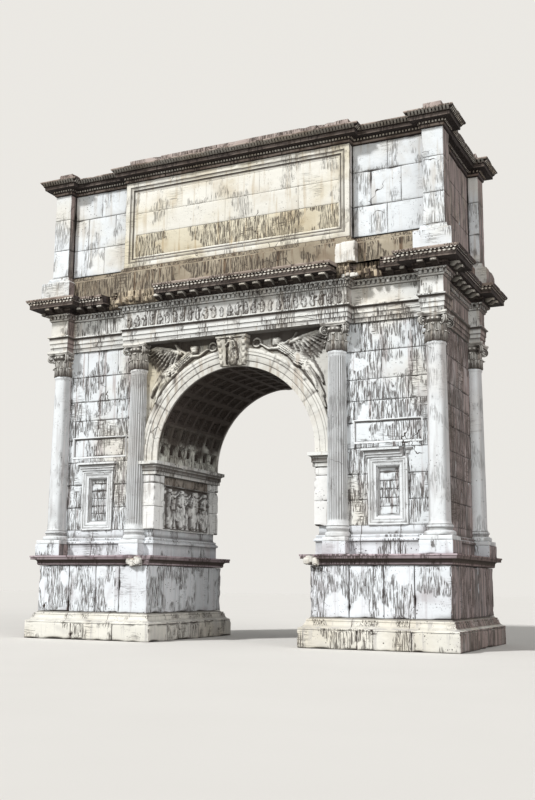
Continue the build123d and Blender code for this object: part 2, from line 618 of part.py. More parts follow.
def tablet():
    """Return the front tablet: a moulded border round a sunk field, on a sill."""
    half, back = TABLET_LENGTH / 2, -ATTIC_DEPTH / 2 + TABLET_THICKNESS
    face = back - TABLET_THICKNESS
    slab = box((-half, half), (face, back), (ATTIC_WALL_FOOT, ATTIC_CORNICE_FOOT))
    low, high = ATTIC_WALL_FOOT + TABLET_SILL_HEIGHT, ATTIC_CORNICE_FOOT - TABLET_BORDER
    for share, sink in ((0.45, 0.35), (0.75, 0.7), (1, 1)):
        inset = TABLET_BORDER * share
        sill = (1 - share) * TABLET_SILL_HEIGHT * 0.4
        slab -= box((-half + inset, half - inset), (face - CLEARANCE, face + TABLET_RECESS * sink),
                    (low - sill, high + TABLET_BORDER * (1 - share)))
    return slab


def dentil_course():
    """Return the bed mould under the main cornice, with a row of dentils standing out of its hollow."""
    bed = course(entablature_plan(), DENTIL_COURSE_FOOT, DENTIL_COURSE_HEIGHT, DENTIL_COURSE_PROJECTION,
                 BED_MOULD)
    (inner, outer), (low, high) = DENTIL_BAND
    inner, outer = inner * DENTIL_COURSE_PROJECTION, outer * DENTIL_COURSE_PROJECTION
    foot = DENTIL_COURSE_FOOT
    tooth = box((inner - outer, 0), (-DENTIL_WIDTH / 2, DENTIL_WIDTH / 2),
                (foot + low * DENTIL_COURSE_HEIGHT, foot + high * DENTIL_COURSE_HEIGHT))
    return fuse([bed, *[place * tooth for place in repeats(entablature_plan(), outer, DENTIL_PITCH)]])


def modillion():
    """Return one bracket of the main cornice, hanging from the soffit with its scroll towards +X."""
    length, drop = MODILLION_LENGTH, MODILLION_DEPTH
    soffit = CORNICE_FOOT + SOFFIT_RISE * CORNICE_HEIGHT
    foot = soffit - drop
    side = [
        Line((-length, 0, soffit), (-length, 0, foot)),
        Line((-length, 0, foot), (-length * 0.7, 0, foot)),
        Line((-length * 0.7, 0, foot), (-length * 0.4, 0, foot + drop * 0.3)),
        Line((-length * 0.4, 0, foot + drop * 0.3), (0, 0, foot + drop * 0.45)),
        Line((0, 0, foot + drop * 0.45), (0, 0, soffit)),
        Line((0, 0, soffit), (-length, 0, soffit)),
    ]
    return extrude(Face(Wire(side)), amount=MODILLION_WIDTH / 2, dir=(0, 1, 0), both=True)


def modillion_cornice():
    """Return the main cornice on its modillions, with its front broken away over the two inner columns."""
    plan = entablature_plan()
    whole = course(plan, CORNICE_FOOT, CORNICE_HEIGHT, CORNICE_PROJECTION, CORONA)
    bracket = modillion()
    tips = CORNICE_PROJECTION * SOFFIT_FOOT + MODILLION_LENGTH
    whole = fuse([whole, *[place * bracket for place in repeats(plan, tips, MODILLION_PITCH)]])
    face = -(ROW_Y + CORNER_BREAK_WIDTH / 2) - DENTIL_COURSE_PROJECTION
    recess = face + BREAK_PROJECTION
    left = breach(LEFT_CORNICE_BREACH, CORNICE_FOOT, ATTIC_FOOT_LEVEL, face, BREACH_DEPTH)
    right = breach(RIGHT_CORNICE_BREACH, CORNICE_FOOT, ATTIC_FOOT_LEVEL, recess, BREACH_DEPTH)
    centre_end = INNER_X + CENTRE_BREAK_OVERHANG
    keep = box((0, centre_end), (face, 0), (CORNICE_FOOT, ATTIC_FOOT_LEVEL))
    return whole - left - (right - keep)


def podium_cap(pier_side):
    """Return the podium cap of one pier, with its worn end at the passage."""
    whole = pier_block(PODIUM_CAP_FOOT, PODIUM_TOP, PODIUM_CAP_PROJECTION, PODIUM_CAP)
    whole = whole if pier_side > 0 else mirror(whole, about=Plane.YZ)
    ends = RIGHT_CAP_BREACH if pier_side > 0 else LEFT_CAP_BREACH
    face = -PODIUM_DEPTH / 2 - PODIUM_CAP_PROJECTION * 0.3
    return whole - breach(ends, PODIUM_CAP_FOOT, PODIUM_TOP, face, BREACH_DEPTH / 3)


def blocking_course():
    """Return the blocks on top of the attic cornice, with the low course that links them."""
    plan = attic_plan(ATTIC_DEPTH / 2)
    back = BLOCKING_SETBACK
    inset = [((x[0] + back, x[1] - back), (y[0] + back, y[1] - back)) for x, y in plan]
    link = box(*inset[0], (ATTIC_TOP, ATTIC_TOP + BLOCKING_LINK_HEIGHT))
    blocks = [box(x, y, (ATTIC_TOP, ATTIC_TOP + BLOCKING_HEIGHT)) for x, y in inset[1:]]
    return fuse([link, *blocks])


def right_pier():
    """Return the right pier's pieces, which the left pier mirrors."""
    base = wall_base()
    fluted = tapered_shaft() - flute_cutters()
    shafts = {**place_columns(fluted, 1, SHAFT_FOOT, True),
              **place_columns(plain_shaft(), 1, SHAFT_FOOT, False)}
    head = capital()
    heads = {**place_columns(head, 1, CAPITAL_FOOT, True), **place_columns(head, 1, CAPITAL_FOOT, False)}
    return {
        "plinth": plinth(),
        "podium_base": pier_block(PODIUM_BASE_FOOT, PODIUM_DADO_FOOT, PODIUM_BASE_PROJECTION, STEPPED_BASE),
        "podium_dado": pier_block(PODIUM_DADO_FOOT, PODIUM_CAP_FOOT),
        "wall_base": base,
        "column_bases": column_bases(base),
        "front_inner_shaft": shafts[(INNER_X, -ROW_Y)],
        "back_inner_shaft": shafts[(INNER_X, ROW_Y)],
        "front_corner_shaft": shafts[(CORNER_X, -ROW_Y)],
        "back_corner_shaft": shafts[(CORNER_X, ROW_Y)],
        "capitals": list(heads.values()),
        "pier_wall": pier_wall(),
        "passage_wall": passage_wall(),
        "jamb_pilasters": jamb_pilasters(),
        "impost": impost(),
        "relief_panel": relief_panel(),
    }


def compound(piece):
    """Return one shape to write, from a solid or from a list of separate solids."""
    if isinstance(piece, (list, tuple)):
        return Compound(children=[solid for part in piece for solid in part.solids()])
    return piece


def nodes():
    """Build every piece of the arch under its node name."""
    pieces = {}
    for name, piece in right_pier().items():
        whole = compound(piece)
        pieces["right_" + name] = whole
        pieces["left_" + name] = mirror(whole, about=Plane.YZ)
    pieces["right_podium_cap"] = podium_cap(1)
    pieces["left_podium_cap"] = podium_cap(-1)
    pieces["left_spandrel"], pieces["right_spandrel"] = spandrels()
    pieces["vault_ring"] = half_ring(PASSAGE_X + LINING_THICKNESS, RING_RADIUS, (-PIER_Y, PIER_Y))
    pieces["coffer_lining"] = coffer_lining()
    front_ring, front_key = archivolt(keystone_wedge()), keystone()
    front_tablet, window = tablet(), blind_window()
    pieces["archivolts"] = compound([front_ring, mirror(front_ring, about=Plane.XZ)])
    pieces["keystones"] = compound([front_key, mirror(front_key, about=Plane.XZ)])
    pieces["tablets"] = compound([front_tablet, mirror(front_tablet, about=Plane.XZ)])
    windows = [window, mirror(window, about=Plane.XZ)]
    pieces["blind_windows"] = compound(windows + [mirror(each, about=Plane.YZ) for each in windows])
    plan = entablature_plan()
    pieces["architrave"] = course(plan, ARCHITRAVE_FOOT, ARCHITRAVE_HEIGHT, ARCHITRAVE_PROJECTION, FASCIAE)
    pieces["frieze"] = course(plan, FRIEZE_FOOT, FRIEZE_HEIGHT, 0, PLAIN)
    pieces["dentil_course"] = dentil_course()
    pieces["modillion_cornice"] = modillion_cornice()
    front_y = ATTIC_DEPTH / 2
    pieces["attic_base"] = course(attic_plan(front_y), ATTIC_FOOT_LEVEL, ATTIC_BASE_HEIGHT,
                                  ATTIC_BASE_PROJECTION, ATTIC_FOOT)
    wall_plan = attic_plan(front_y - TABLET_THICKNESS)
    pieces["attic_wall"] = course(wall_plan, ATTIC_WALL_FOOT, ATTIC_WALL_HEIGHT, 0, PLAIN)
    pieces["attic_cornice"] = course(attic_plan(front_y), ATTIC_CORNICE_FOOT, ATTIC_CORNICE_HEIGHT,
                                     ATTIC_CORNICE_PROJECTION, ATTIC_CROWN)
    pieces["blocking_course"] = blocking_course()
    return pieces


os.makedirs("parts", exist_ok=True)
for node_name, shape in nodes().items():
    export_step(shape, f"parts/{node_name}.step")
    print(node_name, len(shape.solids()), round(shape.volume / 1e9, 3))
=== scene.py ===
"""Stone-by-stone dress of a weathered Roman triumphal arch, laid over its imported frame.

X runs along the length, the front faces -Y and Z is up. Sizes are in metres.
"""
import logging
from dataclasses import dataclass
from enum import Enum
from itertools import product
from math import cos, pi, radians, sin

import bpy
import numpy as np
from mathutils import Matrix, Vector


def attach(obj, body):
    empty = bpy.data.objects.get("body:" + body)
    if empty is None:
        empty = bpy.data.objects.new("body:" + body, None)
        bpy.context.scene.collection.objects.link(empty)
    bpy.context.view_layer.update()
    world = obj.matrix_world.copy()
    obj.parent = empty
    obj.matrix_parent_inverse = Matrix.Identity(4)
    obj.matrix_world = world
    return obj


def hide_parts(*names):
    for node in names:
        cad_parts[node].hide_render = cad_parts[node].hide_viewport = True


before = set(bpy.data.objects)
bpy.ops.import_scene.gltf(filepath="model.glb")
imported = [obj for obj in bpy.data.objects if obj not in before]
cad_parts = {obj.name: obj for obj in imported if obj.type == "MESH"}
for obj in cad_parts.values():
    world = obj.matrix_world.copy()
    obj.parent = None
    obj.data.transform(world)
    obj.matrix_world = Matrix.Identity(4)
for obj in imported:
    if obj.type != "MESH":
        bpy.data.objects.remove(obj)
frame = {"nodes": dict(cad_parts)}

Array = np.ndarray
Pair = tuple[float, float]
Triple = tuple[float, float, float]
Colour = Triple
Mark = Array | float
LOG = logging.getLogger("arch")
PRIMES = (73856093, 19349663, 83492791)
OCTAVES = 3


# Numbers and shapes shared by all pieces

def scrambled(seed: int, *cells: Array) -> Array:
    """Give repeatable pseudo-random numbers for whole-number cells.

    Each cell number is multiplied by its own large prime, the products are joined by exclusive
    or, and the result is scrambled twice and scaled.

    Args:
        seed: Picks one series of numbers.
        cells: One array of whole numbers per axis.

    Returns:
        Numbers from 0 to 1.
    """
    value = np.zeros(np.broadcast(*cells).shape, np.uint64) + np.uint64(seed * 7919 + 17)
    for prime, cell in zip(PRIMES, cells):
        value = value ^ (np.asarray(cell).astype(np.int64).astype(np.uint64) * np.uint64(prime))
    value = (value ^ (value >> np.uint64(15))) * np.uint64(2246822519)
    value = (value ^ (value >> np.uint64(13))) * np.uint64(3266489917)
    return ((value >> np.uint64(16)) & np.uint64(0xFFFF)).astype(float) / 0xFFFF


def smooth_noise(points: Array, cell: float, seed: int) -> Array:
    """Blend pseudo-random numbers on a cubic lattice into smooth noise.

    The fraction t within a cell is eased to 3t^2 - 2t^3, and the eight corners are weighed by it.

    Args:
        points: Points, with their three coordinates on the last axis.
        cell: Width of one lattice cell.
        seed: Picks the pattern.

    Returns:
        One value from -1 to 1 per point.
    """
    place = points / cell
    corner = np.floor(place)
    part = eased(place - corner, 0, 1)
    total = np.zeros(points.shape[:-1])
    for steps in product((0, 1), repeat=3):
        weight = np.prod(np.where(steps, part, 1 - part), axis=-1)
        total += weight * scrambled(seed, *(corner[..., axis] + steps[axis] for axis in range(3)))
    return total * 2 - 1


def fractal(points: Array, cell: float, seed: int) -> Array:
    """Add noise at halving widths and strengths, scaled back to about -1 to 1."""
    total = sum(smooth_noise(points, cell / 2 ** step, seed + step) / 2 ** step for step in range(OCTAVES))
    return total / (2 - 2 ** (1 - OCTAVES))


def eased(value: Array, low: float, high: float) -> Array:
    """Rise smoothly from 0 at low to 1 at high, as 3t^2 - 2t^3."""
    part = held((value - low) / (high - low))
    return part * part * (3 - 2 * part)


def held(value: Array) -> Array:
    """Hold values between 0 and 1."""
    return np.clip(value, 0, 1)


def circle(turn: Array) -> Array:
    """Give the cosine and the sine of each turn, on a last axis of two."""
    return joined(np.cos(turn), np.sin(turn))


def joined(*coordinates: Mark) -> Array:
    """Join coordinates that broadcast together into points, on a last axis."""
    return np.stack(np.broadcast_arrays(*coordinates), -1)


def raised(flat: Array, level: Array) -> Array:
    """Give points in plan, [..., xy], a height that broadcasts to them."""
    return np.concatenate([flat, np.broadcast_to(level, flat.shape[:-1])[..., None]], -1)


def rotated(x: Array, y: Array, turn: float) -> tuple[Array, Array]:
    """Turn places in plan about the middle: x cos - y sin, and x sin + y cos."""
    return x * cos(turn) - y * sin(turn), x * sin(turn) + y * cos(turn)


def grid_faces(rows: int, columns: int, wrap: tuple[bool, bool] = (False, False)) -> Array:
    """List the four-sided faces of a grid of points that is numbered row by row.

    Args:
        rows: Number of points along.
        columns: Number of points across each row.
        wrap: Whether the last row joins the first, and the last column the first.

    Returns:
        Point numbers, anticlockwise as seen from the side that rows x columns points to.
    """
    row = np.arange(rows if wrap[0] else rows - 1)[:, None]
    column = np.arange(columns if wrap[1] else columns - 1)[None, :]
    next_row, next_column = (row + 1) % rows, (column + 1) % columns
    quad = [row * columns + column, next_row * columns + column, next_row * columns + next_column,
            row * columns + next_column]
    return joined(*quad).reshape(-1, 4)


@dataclass(frozen=True)
class Side:
    """An upright plane of the arch: a point of it in plan, and the way it faces."""

    x: float
    y: float
    outward: Pair

    def place(self, along: Array, out: Array, up: Array) -> Array:
        """Turn distances along the plane, out of it and up into points: base + along*a + outward*o."""
        ox, oy = self.outward
        return joined(self.x - oy * along + ox * out, self.y + ox * along + oy * out, up)


@dataclass(frozen=True)
class Top:
    """A level plane of the arch, at its height."""

    level: float

    def place(self, along: Array, out: Array, up: Array) -> Array:
        """Turn distances along X, above the plane and along Y into points."""
        return joined(along, up, self.level + out)


def front(depth: float) -> Side:
    """Give the plane that faces the front at a distance from the middle."""
    return Side(0, -depth, (0, -1))


def back(depth: float) -> Side:
    """Give the plane that faces the back at a distance from the middle."""
    return Side(0, depth, (0, 1))


class Piece:
    """Gathers surfaces as arrays and makes one mesh object of them."""

    def __init__(self, name: str) -> None:
        """Start an empty piece under its name."""
        self.name = name
        self.points: list[Array] = []
        self.tones: list[Array] = []
        self.dirt_and_shade_marks: list[Array] = []
        self.faces: list[Array] = []
        self.count = 0

    def add(self, points: Array, faces: list[Array], tone: Mark = 0.5, dirt_and_shade: Mark = 0.0) -> None:
        """Add points and the faces between them.

        Args:
            points: Points, with their three coordinates on the last axis.
            faces: Arrays of point numbers, each with one face per row.
            tone: Lightness of the stone from 0 to 1, for each point or for all.
            dirt_and_shade: How dirty each point is and how much shade is painted on it, from 0 to 1.
        """
        flat = points.reshape(-1, 3)
        self.points.append(flat)
        self.tones.append(np.broadcast_to(tone, points.shape[:-1]).reshape(-1))
        self.dirt_and_shade_marks.append(np.broadcast_to(dirt_and_shade, points.shape[:-1]).reshape(-1))
        self.faces += [face + self.count for face in faces]
        self.count += len(flat)

    def tube(self, rings: Array, tone: Mark = 0.5, dirt_and_shade: Mark = 0.0) -> None:
        """Add a closed skin of points [along, up, xyz] that wraps along, with a flat cap at each end."""
        along, up = rings.shape[:2]
        ring = np.arange(along)[None, :] * up
        caps = [ring[:, ::-1], ring + up - 1]
        self.add(rings, [grid_faces(along, up, (True, False)), *caps], tone, dirt_and_shade)

    def bar(self, rings: Array, tone: Mark = 0.5, dirt_and_shade: Mark = 0.0) -> None:
        """Add a closed bar of points [along, round, xyz] with an open path, whose section wraps."""
        along, round_ = rings.shape[:2]
        section = np.arange(round_)[None, :]
        caps = [section, (section + (along - 1) * round_)[:, ::-1]]
        self.add(rings, [grid_faces(along, round_, (False, True)), *caps], tone, dirt_and_shade)

    def hoop(self, rings: Array, tone: Mark = 0.5, dirt_and_shade: Mark = 0.0) -> None:
        """Add a closed hoop of points [along, round, xyz], whose path and section both wrap."""
        self.add(rings, [grid_faces(*rings.shape[:2], (True, True))], tone, dirt_and_shade)

    def slabs(self, faces: Array, backs: Array, tone: Mark = 0.5, dirt_and_shade: Mark = 0.0) -> None:
        """Add closed slabs, each a grid of front points carried back to a flat rear.

        Args:
            faces: Front points [slab, along, up, xyz].
            backs: The same points pushed back; only their border is used.
            tone: Lightness, which broadcasts to [slab, along, up].
            dirt_and_shade: Dirt and painted shade, which broadcasts to [slab, along, up].
        """
        slabs, along, up = faces.shape[:3]
        number = np.arange(along * up).reshape(along, up)
        border = np.concatenate([number[:, 0], number[-1, 1:], number[-2::-1, -1], number[0, -2:0:-1]])
        rear = along * up + np.arange(len(border))
        sides = joined(np.roll(border, -1), border, rear, np.roll(rear, -1))
        points = np.concatenate([faces.reshape(slabs, -1, 3), backs.reshape(slabs, -1, 3)[:, border]], 1)
        spread = [np.broadcast_to(value, faces.shape[:3]).reshape(slabs, -1) for value in (tone, dirt_and_shade)]
        spread = [np.concatenate([value, value[:, border]], 1) for value in spread]
        self.copies(points, [grid_faces(along, up), sides, rear[None, ::-1]], *spread)

    def copies(self, points: Array, faces: list[Array], tone: Mark = 0.5, dirt_and_shade: Mark = 0.0) -> None:
        """Add many copies of one closed shape.

        Args:
            points: Points [copy, point, xyz].
            faces: The faces of one copy, as arrays of its own point numbers.
            tone: Lightness, for each point or for all.
            dirt_and_shade: Dirt and painted shade, for each point or for all.
        """
        number, size = points.shape[:2]
        shift = (np.arange(number) * size)[:, None, None]
        parts = [(local[None] + shift).reshape(-1, local.shape[-1]) for local in faces]
        self.add(points, parts, tone, dirt_and_shade)

    def build(self, finish: str, replaces: str = "", slot: str = "", crease: float = 40) -> None:
        """Make the mesh, dress it and set it on the arch, at the origin and riding on the root body.

        Args:
            finish: Name of the material.
            replaces: Frame node that it stands for.
            slot: The record's material slot, where it replaces nothing. Not used.
            crease: Edges sharper than this many degrees stay sharp.
        """
        mesh = bpy.data.meshes.new(self.name)
        points = np.concatenate(self.points).astype(np.float32)
        sizes = np.concatenate([np.full(len(face), face.shape[1]) for face in self.faces])
        corners = np.concatenate([face.reshape(-1) for face in self.faces]).astype(np.int32)
        mesh.vertices.add(len(points))
        mesh.vertices.foreach_set("co", points.reshape(-1))
        mesh.loops.add(len(corners))
        mesh.loops.foreach_set("vertex_index", corners)
        mesh.polygons.add(len(sizes))
        mesh.polygons.foreach_set("loop_start", np.concatenate([[0], np.cumsum(sizes)[:-1]]).astype(np.int32))
        mesh.polygons.foreach_set("use_smooth", np.ones(len(sizes), bool))
        for label, values in (("tone", self.tones), ("dirt_and_shade", self.dirt_and_shade_marks)):
            mark = mesh.attributes.new(label, "FLOAT", "POINT")
            mark.data.foreach_set("value", np.concatenate(values).astype(np.float32))
        mesh.update(calc_edges=True)
        mesh.validate()
        mesh.set_sharp_from_angle(angle=radians(crease))
        made = bpy.data.objects.new(self.name, mesh)
        bpy.context.scene.collection.objects.link(made)
        mesh.materials.append(bpy.data.materials[finish])
        if replaces:
            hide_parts(replaces)
        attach(made, "root")
        LOG.info("%s: %d triangles", self.name, int((sizes - 2).sum()))


# Weathering

@dataclass(frozen=True)
class Wear:
    """How far a surface has weathered: chips on edges, hollows in faces and waves all over, in metres."""

    chips: float = 0.035
    hollows: float = 0.012
    waves: float = 0.004
    seed: int = 1

    def depth(self, points: Array, edge: Array) -> Array:
        """Work out how deep the surface is worn.

        Chips are the part of a noise above a threshold, strongest on edges; hollows are the part of a
        broad noise above another threshold; waves are plain noise.

        Args:
            points: Where, in space.
            edge: 1 on an exposed edge, falling to 0 away from it.

        Returns:
            Depth below the sound surface.
        """
        chips = held(fractal(points, 0.16, self.seed) - 0.18) * edge * 2.2
        chips += held(smooth_noise(points, 0.45, self.seed + 9) - 0.5) * edge * 2
        hollows = held(fractal(points, 0.4, self.seed + 5) - 0.3) * 2
        waves = self.waves * (1 + fractal(points, 0.12, self.seed + 7))
        return np.maximum(self.chips * chips + self.hollows * hollows + waves, 0)


# Courses of masonry with mouldings

class Bend(Enum):
    """How a moulding curves on the way to a point: rise of the arc over its chord."""

    SWELL = 0.2
    HOLLOW = -0.2


SWELL, HOLLOW = Bend.SWELL, Bend.HOLLOW
Run = Pair | tuple[float, float, Bend]
ARC_STEPS, STRAIGHT_STEP = 5, 0.09


def moulding_line(runs: list[Run], projection: float, height: float) -> Array:
    """Sample a moulding from its foot up.

    A straight run is divided evenly. A bent one follows chord + 4t(1-t) * rise * normal.

    Args:
        runs: Out and up as shares of projection and height, and the bend if the way there isn't straight.
        projection: Metres that a share of 1 stands out.
        height: Metres that a share of 1 rises.

    Returns:
        Distances out and up, one row per sample.
    """
    places = [np.array([[runs[0][0] * projection, runs[0][1] * height]])]
    for (out, up, *_), (next_out, next_up, *bend) in zip(runs, runs[1:]):
        start = np.array([out * projection, up * height])
        end = np.array([next_out * projection, next_up * height])
        chord = end - start
        steps = ARC_STEPS if bend else max(1, int(np.ceil(np.hypot(*chord) / STRAIGHT_STEP)))
        t = (np.arange(steps) + 1)[:, None] / steps
        rise = bend[0].value * np.array([chord[1], -chord[0]]) if bend else 0
        places.append(start + t * chord + 4 * t * (1 - t) * rise)
    return np.concatenate(places)


def hollowness(line: Array, reach: float = 0.07) -> Array:
    """Tell how sunk each sample of a moulding lies: how far the mean of its neighbours stands out of it."""
    gap = np.linalg.norm(line[:, None] - line[None], axis=-1)
    weight = np.exp(-(gap / reach) ** 2)
    mean = (weight * line[None, :, 0]).sum(1) / weight.sum(1)
    return np.clip((mean - line[:, 0]) / 0.02, -1, 1)


@dataclass(frozen=True)
class Edge:
    """One side of a plan: its start, direction, length and way out, the ways out of both sides added at its
    first corner, and the turns at its two ends, which are 1 at an outer corner and -1 at an inner one."""

    start: Array
    run: Array
    length: float
    way: Array
    corner: Array
    turns: Pair


@dataclass(frozen=True)
class Outline:
    """A closed plan with square corners, anticlockwise from above."""

    corners: tuple[Pair, ...]

    def edges(self) -> list[Edge]:
        """List the sides; a turn is the cross product of the directions before and after it."""
        points = np.array(self.corners)
        spans = np.roll(points, -1, 0) - points
        lengths = np.hypot(*spans.T)
        runs = spans / lengths[:, None]
        ways = joined(runs[:, 1], -runs[:, 0])
        turns = -(ways * np.roll(runs, -1, 0)).sum(1)
        corners = ways + np.roll(ways, 1, 0)
        ends = zip(np.roll(turns, 1), turns)
        return [Edge(*row) for row in zip(points, runs, lengths, ways, corners, ends)]

    def stations(self, spacing: float, block: float, seed: int) -> tuple[Array, Array, Array, Array, Array]:
        """Sample the whole plan, with three samples across each joint between stones.

        Args:
            spacing: Widest step.
            block: Length of one stone.
            seed: Shifts the joints.

        Returns:
            Points in plan, the way out at each (both normals added at a corner), the share of a
            joint at each, the number of the stone that it is on, and the rows that carried() reads.
        """
        places, ways, joints, stones, rooms = [], [], [], [], []
        for index, edge in enumerate(self.edges()):
            length = edge.length
            count = max(1, round(length / block))
            shift = (scrambled(seed, np.array([index]), np.arange(count)) - 0.5) * 0.35
            lines = (np.arange(count) + shift)[1:] * length / count
            steps = np.linspace(0, length, max(2, int(np.ceil(length / spacing)) + 1))[:-1]
            marks = np.concatenate([steps, lines - 0.012, lines, lines + 0.012])
            share = np.repeat([0.0, 0.0, 1.0, 0.0], [len(steps)] + [len(lines)] * 3)
            order = np.argsort(marks)
            marks, share = marks[order], share[order]
            places.append(edge.start + marks[:, None] * edge.run)
            way = np.repeat(edge.way[None], len(marks), 0)
            way[0] = edge.corner
            ways.append(way)
            joints.append(share)
            stones.append(np.searchsorted(lines, marks) + index * 100)
            fixed = np.tile([*edge.run, *edge.turns], (len(marks), 1))
            room = np.column_stack([fixed, marks, length - marks])
            room[0, 4:] = 99
            rooms.append(room)
        return tuple(np.concatenate(part) for part in (places, ways, joints, stones, rooms))

    def spots(self, outset: float, pitch: float, margin: float = 0.0) -> tuple[Array, Array]:
        """Space an ornament evenly along every edge of the plan, moved outwards.

        Args:
            outset: Distance out of the plan.
            pitch: Wanted spacing.
            margin: Length kept free at each end of an edge.

        Returns:
            Points in plan and the way out at each.
        """
        places, ways = [], []
        for edge in self.edges():
            low = -outset * np.sign(edge.turns[0]) + margin
            high = edge.length + outset * np.sign(edge.turns[1]) - margin
            count = int(round((high - low) / pitch))
            if count < 1:
                continue
            marks = low + (np.arange(count) + 0.5) * (high - low) / count
            places.append(edge.start + marks[:, None] * edge.run + edge.way * outset)
            ways.append(np.repeat(edge.way[None], count, 0))
        return np.concatenate(places), np.concatenate(ways)


def carried(places: Array, ways: Array, rooms: Array, out: Array) -> Array:
    """Carry the stations of a plan outwards, and stop each side at the mitres of its corners.

    Point = place + way * out + run * slide. The slide brings what would cross a mitre back onto it.

    Args:
        places: Stations in plan.
        ways: The way out at each.
        rooms: Per station, the run, the turns at both ends of its side and the distances to them.
        out: Distance out, [station, sample].

    Returns:
        Points in plan, [station, sample, xy].
    """
    low, high = (np.clip(-rooms[:, [2 + end]] * out - rooms[:, [4 + end]], 0, None) for end in (0, 1))
    return places[:, None] + ways[:, None] * out[..., None] + rooms[:, None, :2] * (low - high)[..., None]


def rectangle(x: Pair, y: Pair) -> Outline:
    """Give a plain oblong plan."""
    return Outline(((x[0], y[0]), (x[1], y[0]), (x[1], y[1]), (x[0], y[1])))


def broken_plan(corner: Pair, pilaster: Pair, body: Pair, centre: Pair) -> Outline:
    """Give a plan that steps forward at its four corners and at the middle of its long sides.

    Args:
        corner: Reach of the corner breaks in x and y.
        pilaster: Where the corner breaks begin in x and y.
        body: Reach of the recessed body.
        centre: Half length and reach of the middle break.
    """
    (ox, oy), (px, py), (bx, by), (mx, my) = corner, pilaster, body, centre
    right = [(mx, -my), (mx, -by), (px, -by), (px, -oy), (ox, -oy), (ox, -py), (bx, -py)]
    half = right + [(x, -y) for x, y in right[::-1]]
    return Outline(tuple(half + [(-x, -y) for x, y in half]))


@dataclass(frozen=True)
class Breach:
    """A stretch of a front moulding that has broken away down to rough stone."""

    ends: Pair
    face: float

    def clear(self, rings: Array, dirt_and_shade: Array) -> tuple[Array, Array]:
        """Push what stands in front of the breach back to a rough plane.

        The plane is y = -(face + roughness), and its roughness is noise that runs in upright ribs.

        Args:
            rings: Points of the course.
            dirt_and_shade: Their dirt and painted shade.

        Returns:
            Both, changed.
        """
        x, y = rings[..., 0], rings[..., 1]
        ragged = 0.09 * smooth_noise(rings * (1, 0, 1), 0.14, 31)
        low, high = self.ends
        within = eased(x + ragged, low, low + 0.05) * eased(ragged - x, -high, 0.05 - high)
        ribs = 0.035 * np.sin(x * 2 * pi / 0.11 + 3 * smooth_noise(rings, 0.5, 33))
        lumps = 0.07 * fractal(rings * (1, 0, 1.3), 0.22, 35)
        rough = -(self.face + ribs + lumps)
        cut = (within > 0.5) & (y < rough)
        rings = rings.copy()
        rings[..., 1] = np.where(cut, rough, y)
        # The rough plane is painted darker, most where it is sunk, as shade.
        return rings, np.where(cut, 0.25 + 0.5 * (lumps + ribs < 0), dirt_and_shade)


@dataclass
class Course:
    """One course of masonry whose moulding follows a plan."""

    plan: Outline
    foot: float
    height: float
    projection: float
    runs: list[Run]
    block: float = 1.3
    spacing: float = 0.075
    wear: Wear = Wear()
    breaches: tuple[Breach, ...] = ()
    # The first number below sets the shade painted in the moulding's hollows, and the last pair is a share of
    # the height painted black as the shadow under an overhang.
    dirt_and_shade_strength: float = 0.6
    ledge: float = 0.24
    shadow_band: Pair = (0, 0)

    def surface(self, piece: Piece) -> None:
        """Add the course to a piece: point = plan + way out * (moulding - wear), raised by the moulding.

        One more ring lies on top, a ledge's width in from the edge, so that the top keeps its own colour.
        Hollows of the moulding are painted darker as shade, and a share of the height, between the two
        numbers of the shadow band, is painted black as the shadow under an overhang.
        """
        places, ways, joints, stones, rooms = self.plan.stations(self.spacing, self.block, self.wear.seed)
        stations = (places, ways, rooms)
        line = moulding_line(self.runs, self.projection, self.height)
        sunk = np.append(hollowness(line), 0.0)
        line = np.concatenate([line, line[-1:] - (self.ledge, 0)])
        nothing = np.zeros((len(places), len(line)))
        sound = self.points(stations, line, nothing)
        edge = held(-sunk)[None] * 0.9 + 0.25 * joints[:, None]
        worn = self.wear.depth(sound, edge) + 0.014 * joints[:, None]
        worn[:, 0] *= 0.5
        worn[:, -1] = worn[:, -2]
        rings = self.points(stations, line, worn)
        # Painted shade: hollows darker and a band of the height black as shadow; joints and wear darken as
        # dirt.
        in_shadow_band = (line[:, 1] >= self.shadow_band[0] * self.height) & (line[:, 1] < self.shadow_band[1] * self.height)
        dirt_and_shade = held(sunk[None] * self.dirt_and_shade_strength + joints[:, None] * 0.5 + worn / 0.07 + 0.9 * in_shadow_band)
        dirt_and_shade[:, -1] = 0.25
        for breach in self.breaches:
            rings, dirt_and_shade = breach.clear(rings, dirt_and_shade)
        tone = scrambled(self.wear.seed + 3, stones, stones)[:, None]
        piece.tube(rings, np.broadcast_to(tone, rings.shape[:2]), dirt_and_shade)

    def points(self, stations: tuple[Array, Array, Array], line: Array, worn: Array) -> Array:
        """Carry the moulding, less its wear, round the plan."""
        return raised(carried(*stations, line[None, :, 0] - worn), self.foot + line[None, :, 1])

    def build(self, name: str, node: str, finish: str) -> None:
        """Make the course as a piece of its own, in place of its frame node."""
        piece = Piece(name)
        self.surface(piece)
        piece.build(finish, node)


# Walls of separate stones

Stones = Array
Box = tuple[float, float, float, float]


def laid(span: Pair, levels: list[float], length: float, seed: int, sink: float = 0.0) -> Stones:
    """Lay stones in courses, with joints that shift from course to course.

    Args:
        span: Where the wall starts and ends along its plane.
        levels: Heights of the bed joints, foot and top included.
        length: Wanted length of a stone.
        seed: Shifts the joints.
        sink: Depth of the wall behind its plane.

    Returns:
        One row per stone: start, end, foot, top and depth.
    """
    rows = []
    for number, (low, high) in enumerate(zip(levels, levels[1:])):
        count = max(1, round((span[1] - span[0]) / length))
        shift = 0.5 * (number % 2) * (count > 1)
        inner = np.arange(1, count + (shift > 0)) - shift
        inner = inner + (scrambled(seed, np.array([number]), inner * 2) - 0.5) * 0.3
        lines = np.concatenate([[0], inner / count, [1]]) * (span[1] - span[0]) + span[0]
        rows += [(start, end, low, high, sink) for start, end in zip(lines, lines[1:]) if end - start > 0.05]
    return np.array(rows)


